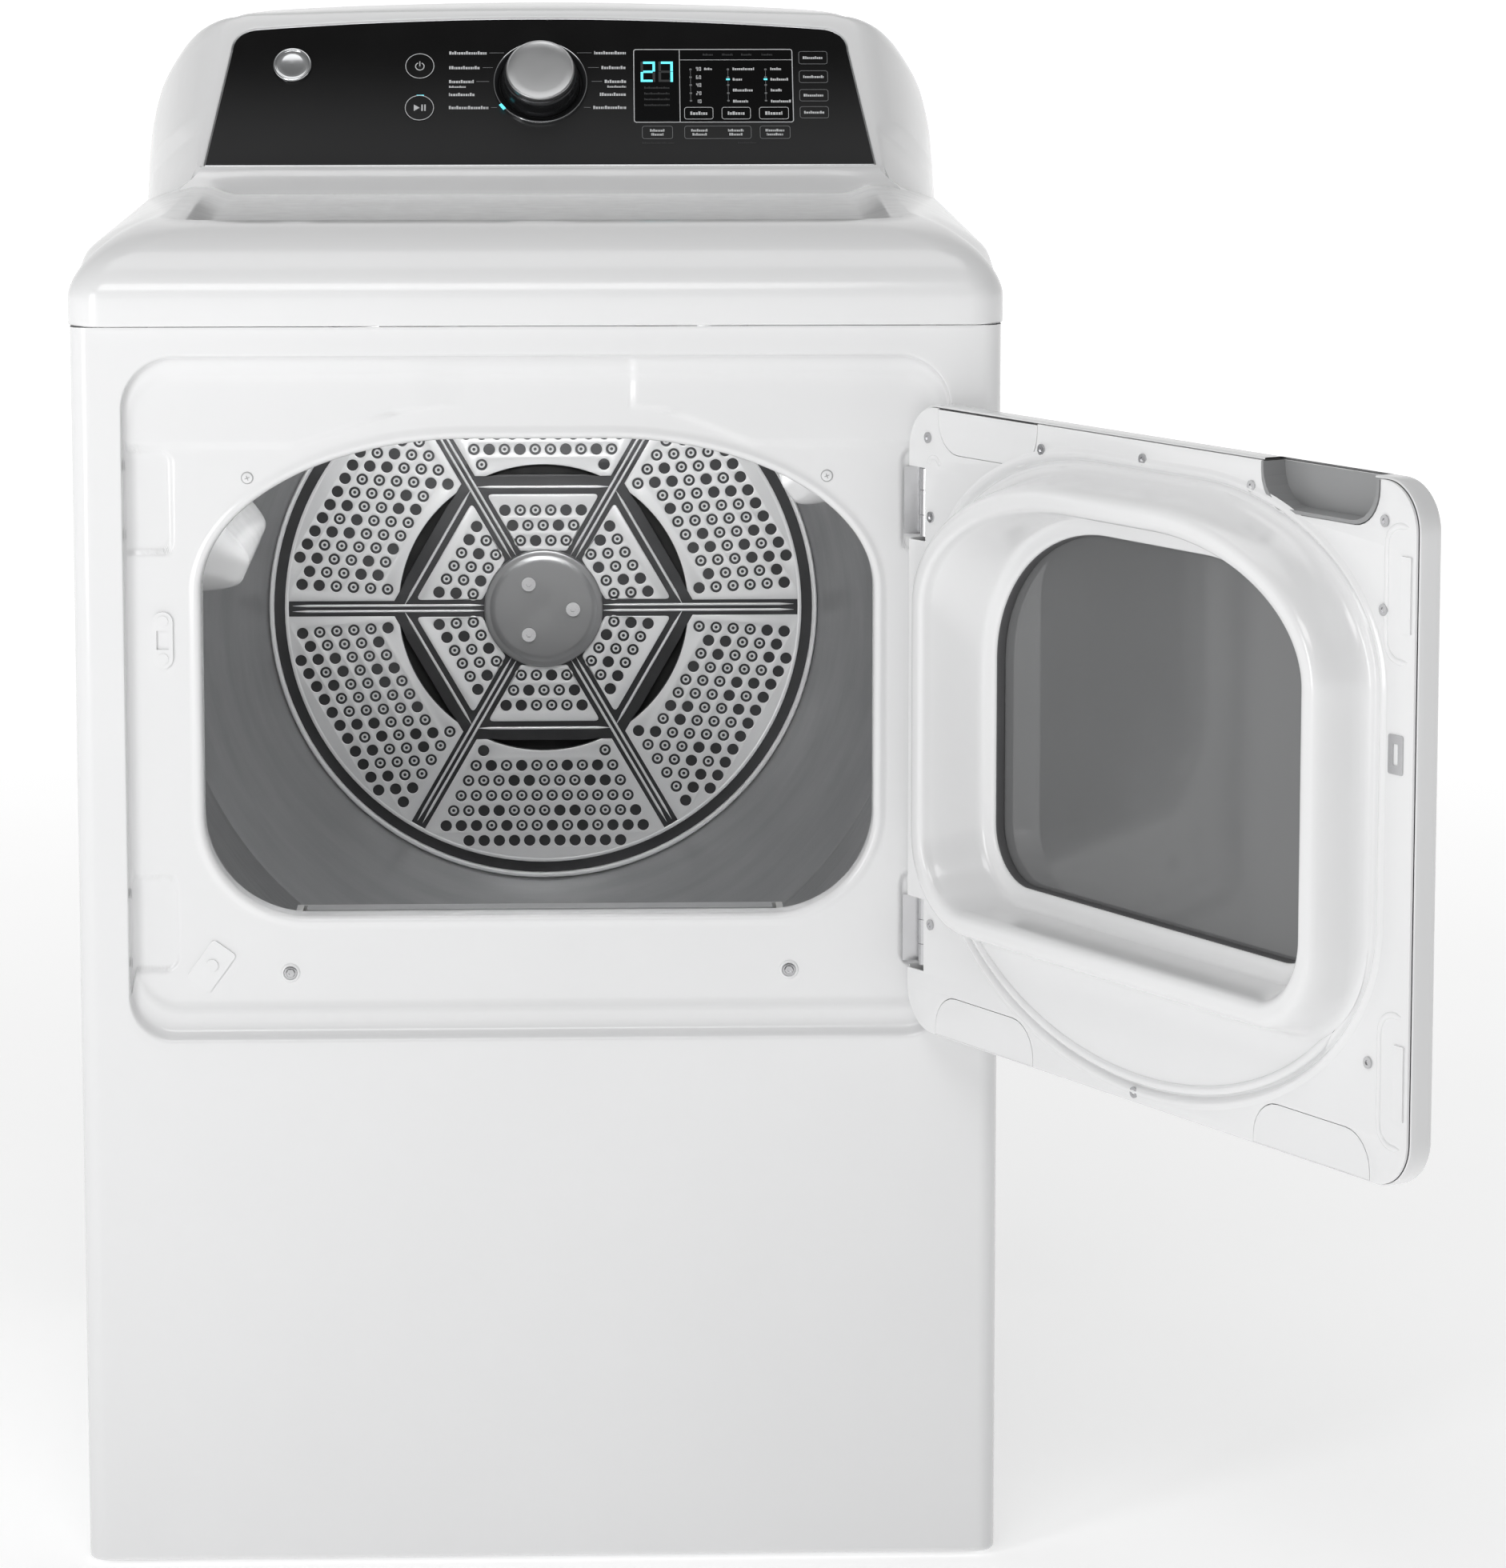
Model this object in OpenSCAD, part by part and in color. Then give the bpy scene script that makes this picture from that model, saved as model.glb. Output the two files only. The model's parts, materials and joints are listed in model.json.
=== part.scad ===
// Free-standing electric clothes dryer with a side-hinged door and a rear control console.
// Millimetres. The origin is on the floor at the centre of the cabinet; +X right, +Y back, +Z up.

/* [Cabinet] */
// Width across the side panels
cab_w = 682; // [676:1:690]
// Depth from the front panel to the rear panel
cab_d = 700; // [696:1:710]
// Width of the top cover
cover_w = 686; // [684:1:696]
// Height of the seam between the cabinet and the top cover
seam_z = 934; // [930:1:940]
// Height of the flat top
deck_z = 1005; // [1000:1:1008]
// Height of the cabinet's underside above the floor
underside_z = 16; // [14:1:18]
// Gap between the floor and the lower edges of the outer panels
skirt_z = 3; // [2:0.5:10]
// Thickness of the sheet metal
sheet = 1.2; // [1:0.1:1.5]

/* [Door] */
// Angle at which the door stands open
door_open = 120; // [90:1:120]
// Half the width of the door
door_hw = 295; // [292:0.5:295]
// Height of the door's lower edge
door_z0 = 410; // [408:1:412]
// Height of the door's upper edge
door_z1 = 878; // [874:1:880]
// Height of the bowl on the door's inner side
bowl_h = 37; // [25:1:40]

/* [Drum] */
// Height of the drum's axis
drum_z = 640; // [638:1:642]
// Outer radius of the drum
drum_r = 306; // [304:1:306]
// Radius of the perforated rear wall
rear_r = 233; // [228:1:236]

/* [Console] */
// Lean of the control face from upright, in degrees
lean = 33; // [30:1:35]
// Height of the console's highest point
console_top = 1150; // [1148:1:1154]
// Radius of the selector knob's cap
knob_r = 28; // [25:0.5:29]

/* [Feet] */
// Distance between the feet from side to side
foot_dx = 600; // [560:10:600]
// Distance between the feet from front to back
foot_dy = 600; // [560:10:600]
// Radius of a foot's pad
pad_r = 17; // [15:0.5:18]

/* [Hidden] */
$fn = 48;
front_y = -cab_d / 2;
rear_y = cab_d / 2;
floor_y = front_y + 12;           // floor of the door recess
inner_y = front_y + 8;            // inner face of the door's rim when it is shut
outer_y = front_y - 14;           // outer face of the door when it is shut
hinge_x = 286;
hinge_y = front_y - 3;
hinge_heights = [483, 804];
hinge_h = 50;
pin_r = 3;
running = 0.05;                   // radial clearance of a running fit

// An outline with elliptical corners is [half width, bottom, top, bottom corner a, b, top corner a, b].
opening = [248, 494, 850, 77, 77, 197, 113];
window = [192, 538, 804, 42, 42, 135, 104];
seal_line = [257, 424, 856, 257, 161, 197, 117];
recess_mouth = [304, 403.5, 913, 33, 33, 40, 40];
recess_cove = [302.2, 408.6, 909, 33, 33, 40, 40];
recess_base = [300, 424, 899, 34, 34, 34, 34];
door_line = [door_hw, door_z0, door_z1, 34, 34, 34, 34];

drum_front_y = -285;
drum_cone_y = 120;
drum_rear_y = 250;
spider_r = 120;
hub_r = 48;
hole_r = 4.9;
hole_pitch = 12.95;               // between the holes of a row of the drum's rear wall
hole_row = 13;                    // between its rows
baffle_angles = [38, 158, 278];
belt_y = 20;
belt_w = 16;
belt_t = 2;

motor_x = -70;
motor_z = 150;
pulley_r = 9.9;
idler_x = -128;
idler_z = 209;
idler_r = 30;
arm_x = -190;
arm_z = 120;
exhaust_x = 75;
exhaust_z = 105;
collar_r = 50.8;                  // four-inch duct
cord_hole_r = 14.3;               // hole for a dryer cord's strain relief
cord_x = -230;
cord_z = 170;

face_y = 155;                     // lower edge of the control face
face_z = 1021.6;
knob_v = 78;
buttons = [[-100, 95], [-100, 55]];
button_r = 12;

filter_w = 340;
filter_z0 = 236;
filter_z1 = 494;

// ---------------------------------------------------------------- helpers

// Points of an elliptical arc.
function arc(cx, cy, a, b, from, to, n) =
    [for (i = [0:n]) let (t = from + (to - from) * i / n) [cx + a * cos(t), cy + b * sin(t)]];

// The points of an outline, drawn in by e.
function outline(o, e = 0, n = 10) = concat(
    arc(o[0] - o[3], o[1] + o[4], o[3] - e, o[4] - e, -90, 0, n),
    arc(o[0] - o[5], o[2] - o[6], o[5] - e, o[6] - e, 0, 90, n),
    arc(-o[0] + o[5], o[2] - o[6], o[5] - e, o[6] - e, 90, 180, n),
    arc(-o[0] + o[3], o[1] + o[4], o[3] - e, o[4] - e, 180, 270, n));

// A rounded rectangle between two corners.
function round_rect(x0, y0, x1, y1, r, n = 6) = concat(
    arc(x1 - r, y0 + r, r, r, -90, 0, n), arc(x1 - r, y1 - r, r, r, 0, 90, n),
    arc(x0 + r, y1 - r, r, r, 90, 180, n), arc(x0 + r, y0 + r, r, r, 180, 270, n));

// Extrudes a flat shape, drawn as X and Z, from y0 to y1.
module along_y(y0, y1) {
    translate([0, y1, 0]) rotate([90, 0, 0]) linear_extrude(y1 - y0) children();
}

// A round bar along Y.
module rod_y(r, y0, y1, x = 0, z = 0, n = 48) {
    translate([x, y0, z]) rotate([-90, 0, 0]) cylinder(r = r, h = y1 - y0, $fn = n);
}

// Turns a profile of [radius, y] points about an axis along Y.
module turned_y(points, x = 0, z = 0, n = 96) {
    translate([x, 0, z]) rotate([-90, 0, 0]) rotate_extrude($fn = n) polygon(points);
}

// A box between two corners.
module block(a, b) {
    translate(a) cube(b - a);
}

// Stands its children on the control face: X across, Y up the slope, Z out of it.
module on_face(u = 0, v = 0, w = 0) {
    translate([0, face_y, face_z]) rotate([90 - lean, 0, 0]) translate([u, v, w]) children();
}

// Carries the door from shut to open.
module swing_door() {
    translate([hinge_x, hinge_y, 0]) rotate([0, 0, door_open])
        translate([-hinge_x, -hinge_y, 0]) children();
}

// ---------------------------------------------------------------- cabinet

module base_pan() color("gainsboro") difference() {
    union() {
        block([-336, front_y + 6, underside_z], [336, rear_y - 6, underside_z + 1.5]);
        for (s = [-1, 1]) {
            block([s * 335.2 - 0.8, front_y + 6, underside_z], [s * 335.2 + 0.8, rear_y - 6, 42]);
            block([-336, s * (cab_d / 2 - 7) - 1, underside_z], [336, s * (cab_d / 2 - 7) + 1, 42]);
        }
        for (x = [-1, 1], y = [-1, 1]) translate([x * foot_dx / 2, y * foot_dy / 2, underside_z])
            cylinder(r = 14, h = 24);
    }
    for (x = [-1, 1], y = [-1, 1]) translate([x * foot_dx / 2, y * foot_dy / 2, underside_z - 1])
        cylinder(r = 5, h = 30);
}

module side_panel(s) color("white") {
    x0 = s > 0 ? cab_w / 2 - sheet : -cab_w / 2;
    inward = s > 0 ? x0 - 14 : x0 + sheet;
    block([x0, front_y + 30.2, skirt_z], [x0 + sheet, rear_y, seam_z]);
    block([inward, front_y + 30.2, seam_z - sheet], [inward + 14, rear_y, seam_z]);
    block([inward, rear_y - 2 * sheet - 0.4, underside_z + 30],
          [inward + 14, rear_y - sheet - 0.2, seam_z - sheet]);
}

module rear_panel() color("lightgray") {
    hw = cab_w / 2 - sheet - 0.2;
    difference() {
        along_y(rear_y - sheet, rear_y) difference() {
            polygon([[-hw, skirt_z], [hw, skirt_z], [hw, seam_z - sheet - 0.2],
                     [-hw, seam_z - sheet - 0.2]]);
            for (i = [0:9], s = [-1, 1]) polygon(round_rect(s * 250 - 30, 560 + i * 18, s * 250 + 30,
                                                            566 + i * 18, 2.9));
        }
        rod_y(collar_r + 3, rear_y - 5, rear_y + 5, exhaust_x, exhaust_z, 96);
        rod_y(cord_hole_r, rear_y - 5, rear_y + 5, cord_x, cord_z);
    }
}

// Plan of the front panel's wrap, drawn in by e.
function wrap_plan(e) = concat(
    [[cab_w / 2 - e, front_y + 30 + e]],
    arc(cab_w / 2 - 14, front_y + 14, 14 - e, 14 - e, 0, -90, 8),
    arc(-cab_w / 2 + 14, front_y + 14, 14 - e, 14 - e, 270, 180, 8),
    [[-cab_w / 2 + e, front_y + 30 + e]]);

// The sloped tub of the door recess, grown by e, as a solid.
module recess_tub(e) {
    hull() {
        along_y(front_y - 0.1, front_y) polygon(outline(recess_mouth, -e, 5));
        along_y(inner_y + 0.3 + e, inner_y + 0.4 + e) polygon(outline(recess_cove, -e, 5));
        along_y(floor_y + e - 0.1, floor_y + e) polygon(outline(recess_base, -e, 5));
    }
}

module front_panel() color("white") {
    difference() {
        union() {
            translate([0, 0, skirt_z]) linear_extrude(seam_z - skirt_z) difference() {
                polygon(wrap_plan(0));
                polygon(wrap_plan(sheet));
            }
            intersection() {
                recess_tub(sheet);
                block([-320, front_y, 380], [320, front_y + 20, 930]);
            }
            block([-325, front_y + 1, seam_z - sheet], [325, front_y + 25, seam_z]);
        }
        recess_tub(0);
        along_y(floor_y - 2, floor_y + 6) polygon(outline(opening));
    }
    along_y(floor_y + 0.2, floor_y + 19) difference() {
        polygon(outline(opening, -sheet));
        polygon(outline(opening));
    }
}

// One level of the top cover, drawn in by e, between two heights.
module cover_level(z0, z1, e, r) {
    translate([0, 0, z0]) linear_extrude(z1 - z0) polygon(concat(
        arc(cover_w / 2 - e - r, front_y - 4 + e + r, r, r, -90, 0, 6),
        [[cover_w / 2 - e, rear_y - 0.2 * e], [-cover_w / 2 + e, rear_y - 0.2 * e]],
        arc(-cover_w / 2 + e + r, front_y - 4 + e + r, r, r, 180, 270, 6)));
}

// The pillow form of the top cover, drawn in by e.
module cover_form(e) {
    hull() {
        cover_level(seam_z + 2, 958, e, 26);
        cover_level(972, 973, e + 3, 28);
        cover_level(988 - e, 989 - e, e + 14, 32);
        cover_level(999 - e, 1000 - e, e + 32, 36);
        cover_level(deck_z - 1 - e, deck_z - e, e + 60, 30);
    }
}

module top_cover() color("white") {
    difference() {
        cover_form(0);
        difference() {
            cover_form(3);
            block([-400, -400, 0], [400, 400, seam_z + 1]);
        }
        translate([0, 0, seam_z]) linear_extrude(4) polygon(wrap_plan(2));
        translate([0, 0, deck_z - 1.4]) linear_extrude(10)
            polygon(round_rect(-272, front_y + 96, 272, 122, 24));
    }
    for (s = [-1, 1]) block([s * 332 - 6, -300, seam_z], [s * 332 + 6, 330, 972]);
}

// ---------------------------------------------------------------- console

// Face outline of the console as [u, v], drawn in by e.
function face_line(e) = concat(
    [[-288 + e, -6 + e], [288 - e, -6 + e]],
    arc(240 - e, 122 - e, 28, 26, 0, 78, 5),
    [[120, 150.5 - e], [0, 152.5 - e], [-120, 150.5 - e]],
    arc(-240 + e, 122 - e, 28, 26, 102, 180, 5));

// Outline of the black fascia, drawn in by e.
function fascia_line(e) = concat(
    [[-276 + e, e], [276 - e, e]],
    arc(233 - e, 110 - e, 23, 21, 0, 80, 5),
    [[120, 138.5 - e], [0, 141 - e], [-120, 138.5 - e]],
    arc(-233 + e, 110 - e, 23, 21, 100, 180, 5));

// Rear outline of the console as [x, z], drawn in by e.
function rear_line(e) = let (half = [[337, 974], [331, 1045], [325, 1072], [317, 1090], [302, 1110],
                                     [281, 1127], [257, 1138], [236, 1143], [120, 1148]])
    concat([for (p = half) [p[0] - e, p[1] - e]], [[0, console_top - e]],
           [for (i = [len(half) - 1:-1:0]) [e - half[i][0], half[i][1] - e]]);

module console_form(e) {
    hull() {
        on_face(0, 0, -1 - e) linear_extrude(1) polygon(face_line(e));
        along_y(262, rear_y - 6 - e) polygon(rear_line(e));
        translate([0, 0, deck_z]) linear_extrude(1) polygon([
            [-300 + e, face_y - 7 + e], [300 - e, face_y - 7 + e], [337 - e, 262], [-337 + e, 262]]);
    }
}

module console_shell() color("white") difference() {
    console_form(0);
    console_form(4);
    cover_form(-0.1);
    on_face(0, 0, -9) linear_extrude(12) polygon(fascia_line(-0.3));
}

module control_fascia() color("black") on_face(0, 0, -3.6) difference() {
    linear_extrude(3) polygon(fascia_line(0));
    for (b = buttons) translate([b[0], b[1], -1]) cylinder(r = button_r + 0.4, h = 6);
    translate([0, knob_v, -1]) cylinder(r = 6, h = 6);
    translate([0, 0, -1]) linear_extrude(6) polygon(round_rect(77.5, 40.5, 209.5, 111, 2.5, 3));
}

module display_lens() color([0.05, 0.06, 0.07]) on_face(0, 0, -3.2) linear_extrude(2.8)
    polygon(round_rect(77.8, 40.8, 209.2, 110.7, 2.2, 3));

module badge() color("silver") on_face(-205.5, 95.5, -0.6) rotate_extrude($fn = 64)
    polygon([[0, 0.05], [16, 0.05], [16, 2], [14.6, 3.2], [13, 2.4], [0, 3]]);

module selector_bezel() color("dimgray") on_face(0, knob_v, -0.55) rotate_extrude($fn = 96)
    polygon([[34, 0], [39, 0], [39.3, 1.4], [38.6, 3.4], [36.5, 2.6], [34, 1.2]]);

module selector_knob() color("silver") on_face(0, knob_v, 0) rotate_extrude($fn = 96)
    polygon([[0, -14], [4.95, -14], [4.95, 1.2], [33.4, 1.2], [32.5, 5], [30, 16], [29, 17.2],
             [knob_r + 0.4, 17.6], [knob_r + 0.4, 21.6], [knob_r - 0.8, 23], [knob_r - 4, 23.3], [0, 23.8]]);

module push_button(b) color("black") on_face(b[0], b[1], -6) rotate_extrude($fn = 64)
    polygon([[0, 0], [9, 0], [9, 1.5], [button_r, 1.5], [button_r, 5.4], [button_r - 0.8, 6], [0, 5.8]]);

module control_board() color("darkgreen") {
    on_face(0, 0, -22) linear_extrude(1.6) polygon(round_rect(-130, 20, 220, 118, 3, 3));
    on_face(0, knob_v, -20.4) difference() {
        translate([-10, -10, 0]) cube([20, 20, 9]);
        translate([0, 0, 5]) cylinder(r = 5, h = 8);
    }
    on_face(0, 0, -20.4) {
        for (b = buttons) translate([b[0] - 3, b[1] - 3, 0]) cube([6, 6, 11.5]);
        translate([80, 44, 0]) cube([128, 62, 14]);
        for (i = [0:3]) translate([-60 + 30 * i, 34, 0]) cylinder(r = 4, h = 9, $fn = 24);
    }
}

// ---------------------------------------------------------------- drum and its supports

module front_bulkhead() color("gainsboro") difference() {
    union() {
        along_y(floor_y + 20, floor_y + 20 + sheet) difference() {
            polygon(round_rect(-330, 225, 330, 930, 10));
            polygon(outline(opening, -1.5));
            polygon(round_rect(-186, 221, 186, 500, 3, 2));
        }
        turned_y([[296, -317], [297.2, -317], [297.2, -266], [296, -266]], 0, drum_z, 120);
    }
    block([-186, -316.7, 200], [186, -286, 500]);
}

module front_drum_seal() color("beige")
    turned_y([[297.4, -284], [299.6, -284], [299.6, -270], [297.4, -270]], 0, drum_z, 120);

module drum_shell() color("lightgray") turned_y([
    [301, drum_front_y], [drum_r, -277], [drum_r, drum_cone_y], [rear_r + 0.6, drum_rear_y],
    [rear_r - 0.6, drum_rear_y], [drum_r - 1.1, drum_cone_y - 0.5], [drum_r - 1.1, -276.6],
    [300, drum_front_y]], 0, drum_z, 120);

// Hole centres of one sector of the rear wall, in rows across it.
function sector_holes() = [
    for (row = [0:7], i = [-8:8])
        let (x = (i + row % 2 / 2) * hole_pitch, z = spider_r + 2.8 + row * hole_row)
            if (abs(x) <= z * tan(30) - 13.6 && norm([x, z]) > spider_r + 9 && norm([x, z]) < rear_r - 20) [x, z]
];

module drum_rear_wall() color("silver") along_y(drum_rear_y, drum_rear_y + 1.2)
    translate([0, drum_z]) difference() {
        circle(r = rear_r + 0.6, $fn = 120);
        circle(r = spider_r + 3, $fn = 96);
        for (k = [0:5], p = sector_holes()) rotate(k * 60) translate(p) circle(r = hole_r, $fn = 16);
    }

module drum_spider() color("silver") {
    translate([0, 0, drum_z]) difference() {
        union() {
            along_y(drum_rear_y - 1.4, drum_rear_y - 0.1) {
                circle(r = spider_r + 8, $fn = 6);
                for (k = [0:5]) rotate(k * 60) translate([0, -6.5]) square([rear_r - 16, 13]);
            }
            along_y(drum_rear_y - 4, drum_rear_y - 1.4) for (k = [0:5]) rotate(k * 60) {
                translate([hub_r - 2, 1.4]) square([rear_r - 20 - hub_r, 2]);
                translate([hub_r - 2, -3.4]) square([rear_r - 20 - hub_r, 2]);
            }
        }
        along_y(drum_rear_y - 6, drum_rear_y + 1) for (k = [0:5], row = [0:2], i = [0:2 + row])
            rotate(k * 60) translate([(i - (2 + row) / 2) * hole_pitch, 61.8 + row * hole_row])
                circle(r = hole_r, $fn = 16);
    }
    rod_y(hub_r, drum_rear_y - 7, drum_rear_y - 1.4, 0, drum_z, 96);
}

module hub_screws() color("gray") for (k = [0:2]) {
    x = 25 * cos(120 * k);
    z = drum_z + 25 * sin(120 * k);
    difference() {
        rod_y(6, drum_rear_y - 10, drum_rear_y - 7, x, z, 32);
        rod_y(2.4, drum_rear_y - 11, drum_rear_y - 8, x, z, 6);
    }
}

module drum_shaft() color("gray") {
    rod_y(10 - running, drum_rear_y - 0.1, 340, 0, drum_z);
    rod_y(30, drum_rear_y - 0.1, drum_rear_y + 4, 0, drum_z);
}

// A lifter on the drum's wall, drawn on top of the drum and turned to its place.
module baffle(k) color("whitesmoke") translate([0, 0, drum_z]) rotate([0, 90 - baffle_angles[k], 0])
    intersection() {
        difference() {
            along_y(-235, 95) polygon(concat(
                [[-46, drum_r - 14], [-46, drum_r], [46, drum_r], [46, drum_r - 14]],
                arc(0, drum_r - 52, 12, 12, -20, -160, 6)));
            translate([0, -235, drum_r - 14]) rotate([35, 0, 0]) block([-60, -60, -90], [60, 0, 60]);
            translate([0, 95, drum_r - 14]) rotate([-35, 0, 0]) block([-60, 0, -90], [60, 60, 60]);
        }
        rod_y(drum_r - 1.4, -300, 110, 0, 0, 120);
    }

module heater_housing() color("silver") difference() {
    turned_y([[20, rear_y - 1.4], [20, rear_y - 2.8], [243, rear_y - 2.8], [243, 262], [252, 262],
              [252, 263.2], [244.2, 263.2], [244.2, rear_y - 1.4]], 0, drum_z, 120);
    for (k = [0:11]) translate([0, 0, drum_z]) rotate([0, k * 30, 0]) rod_y(9, 335, 350, 0, 200, 24);
}

module heater_coil() color("gray") for (r = [150, 180, 210])
    translate([0, 300, drum_z]) rotate([-90, 0, 0]) rotate_extrude($fn = 72)
        translate([r, 0]) circle(r = 5, $fn = 16);

module rear_bearing() color("dimgray")
    turned_y([[10, 300], [34, 300], [34, 303], [19.8, 303], [19.8, rear_y - 1.4], [10, rear_y - 1.4]],
             0, drum_z, 64);

// ---------------------------------------------------------------- air path

module trap_duct() color("gainsboro") {
    y0 = floor_y + 21.6;
    difference() {
        union() {
            block([-182, y0, 226], [182, -290, 493]);
            block([-150, y0, 92], [10, -290, 226]);
        }
        block([-177, y0 + 2.4, 230], [177, -292, 500]);
        block([-146, y0 + 2.4, 96], [6, -292, 231]);
        rod_y(58, -296, -280, motor_x, motor_z, 64);
        for (i = [-9:9]) block([i * 18 - 6, -295, 372], [i * 18 + 6, -285, 480]);
    }
}

module filter_frame() color("darkgray") {
    y0 = -311.5;
    difference() {
        block([-filter_w / 2, y0, filter_z0], [filter_w / 2, y0 + 9, filter_z1 - 8]);
        for (i = [-1:1]) block([i * 110 - 50, y0 - 1, filter_z0 + 12], [i * 110 + 50, y0 + 10, filter_z1 - 22]);
    }
    block([-filter_w / 2 - 4, y0 - 2, filter_z1 - 8], [filter_w / 2 + 4, y0 + 16, filter_z1]);
}

module filter_screen() color("gray") for (i = [-1:1])
    block([i * 110 - 50, -307.3, filter_z0 + 12], [i * 110 + 50, -306.7, filter_z1 - 22]);

module blower_housing() color("gainsboro") difference() {
    union() {
        rod_y(108, -289.8, -190, motor_x, motor_z, 96);
        block([motor_x, -289.8, 42], [exhaust_x + 56, -190, 165]);
    }
    rod_y(104, -286.5, -193, motor_x, motor_z, 96);
    block([motor_x, -286.5, 46], [exhaust_x + 52, -193, 161]);
    rod_y(58, -300, -280, motor_x, motor_z, 64);
    rod_y(10, -200, -180, motor_x, motor_z);
    rod_y(47.2, -200, -180, exhaust_x, exhaust_z, 64);
}

module blower_wheel() color("whitesmoke") {
    difference() {
        rod_y(94, -214, -211, motor_x, motor_z, 96);
        rod_y(7, -220, -205, motor_x, motor_z);
    }
    difference() {
        rod_y(14, -235, -211, motor_x, motor_z);
        rod_y(7, -240, -205, motor_x, motor_z);
    }
    translate([motor_x, 0, motor_z]) for (k = [0:23]) rotate([0, k * 15, 0])
        block([58, -278, -0.9], [93, -214, 0.9]);
    difference() {
        rod_y(94, -281, -278, motor_x, motor_z, 96);
        rod_y(60, -285, -275, motor_x, motor_z, 64);
    }
}

module exhaust_duct() color("silver") turned_y([
    [47.2, -189.8], [48, -189.8], [48, 344], [collar_r, 344], [collar_r, 390], [49.9, 390],
    [49.9, 345], [47.2, 345]], exhaust_x, exhaust_z, 96);

// ---------------------------------------------------------------- drive

module motor_casing() color("dimgray") {
    difference() {
        union() {
            rod_y(66, -150, 2, motor_x, motor_z, 64);
            rod_y(22, -158, 10, motor_x, motor_z);
        }
        rod_y(60, -146, -2, motor_x, motor_z, 64);
        rod_y(7 + running, -170, 20, motor_x, motor_z);
    }
    for (y = [-140, -10]) difference() {
        block([motor_x - 60, y - 3, underside_z + 1.6], [motor_x + 60, y + 3, motor_z]);
        rod_y(66, -151, 12, motor_x, motor_z, 64);
    }
}

module rotor_shaft() color("silver") {
    rod_y(7, -240, 40, motor_x, motor_z);
    rod_y(50, -130, -18, motor_x, motor_z, 64);
}

module motor_pulley() color("gray") difference() {
    turned_y([[5, belt_y - 2], [14, belt_y - 2], [14, belt_y - 0.4], [pulley_r, belt_y - 0.4],
              [pulley_r, belt_y + belt_w + 0.4], [14, belt_y + belt_w + 0.4], [14, belt_y + belt_w + 2],
              [5, belt_y + belt_w + 2]], motor_x, motor_z, 64);
    rod_y(7, 0, 60, motor_x, motor_z);
}

// The belt's circles as [centre, signed radius]; the idler bears on the outside.
belt_circles = [[[0, drum_z], drum_r + 0.7], [[idler_x, idler_z], -idler_r - 0.2 - belt_t],
                [[motor_x, motor_z], pulley_r + 0.2]];

// Angle of the belt's outward normal on the straight run between two circles.
function run_normal(a, b) = let (d = b[0] - a[0])
    atan2(d[1], d[0]) - acos((a[1] - b[1]) / norm(d));

// The belt's line, moved outwards by e.
function belt_line(e) = [for (k = [0:2])
    let (c = belt_circles[k], before = belt_circles[(k + 2) % 3], after = belt_circles[(k + 1) % 3],
         from = run_normal(before, c), turn = run_normal(c, after) - from,
         sweep = c[1] > 0 ? (turn % 360 + 360) % 360 : -((-turn % 360 + 360) % 360),
         n = c[1] > 100 ? 60 : 10)
        for (i = [0:n]) c[0] + (c[1] + e) * [cos(from + sweep * i / n), sin(from + sweep * i / n)]];

module drive_belt() color([0.1, 0.1, 0.1]) along_y(belt_y, belt_y + belt_w) difference() {
    polygon(belt_line(belt_t));
    polygon(belt_line(0));
}

module idler_arm() color("silver") {
    difference() {
        union() {
            along_y(42, 45) {
                translate([arm_x, arm_z]) circle(r = 14);
                translate([idler_x, idler_z]) circle(r = 10);
                polygon([[arm_x - 9, arm_z + 7], [arm_x + 9, arm_z - 7],
                         [idler_x + 7, idler_z - 5], [idler_x - 7, idler_z + 5]]);
            }
            rod_y(5, belt_y - 3, 42, idler_x, idler_z);
        }
        rod_y(6 + running, 40, 50, arm_x, arm_z);
    }
}

module idler_wheel() color("whitesmoke") difference() {
    turned_y([[3, belt_y - 2], [idler_r + 2, belt_y - 2], [idler_r + 2, belt_y - 0.4],
              [idler_r, belt_y - 0.4], [idler_r, belt_y + belt_w + 0.4],
              [idler_r + 2, belt_y + belt_w + 0.4], [idler_r + 2, belt_y + belt_w + 2],
              [3, belt_y + belt_w + 2]], idler_x, idler_z, 64);
    rod_y(5 + running, 0, 60, idler_x, idler_z);
}

// A coil of wire between two heights, as a swept polyhedron.
module coil(x, y, z0, z1, r, wire, turns) {
    sides = 6;
    steps = 10 * turns;
    ring = [for (i = [0:steps]) let (t = 360 * turns * i / steps, z = z0 + (z1 - z0) * i / steps)
        for (j = [0:sides - 1]) let (a = 360 * j / sides, q = r + wire * cos(a))
            [x + q * cos(t), y + q * sin(t), z + wire * sin(a)]];
    caps = [[for (j = [0:sides - 1]) j], [for (j = [sides - 1:-1:0]) steps * sides + j]];
    walls = [for (i = [0:steps - 1], j = [0:sides - 1]) let (a = i * sides + j, b = i * sides + (j + 1) % sides)
        [b, a, a + sides, b + sides]];
    polyhedron(ring, concat(caps, walls), convexity = 10);
}

module idler_spring() color("silver") {
    coil((arm_x + idler_x) / 2 + 4, 53, 40, 150, 6, 1.2, 9);
}

// ---------------------------------------------------------------- front fittings

module hinge_brackets() color("silver") for (z = hinge_heights) difference() {
    union() {
        block([hinge_x - 16, floor_y - 2, z - hinge_h / 2], [hinge_x + 2, floor_y, z + hinge_h / 2]);
        block([hinge_x - 1, hinge_y, z - 9], [hinge_x + 1, floor_y - 1, z + 9]);
        translate([hinge_x, hinge_y, z - 9]) cylinder(r = 5, h = 18);
    }
    translate([hinge_x, hinge_y, z - 20]) cylinder(r = pin_r + running, h = 40);
}

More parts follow.
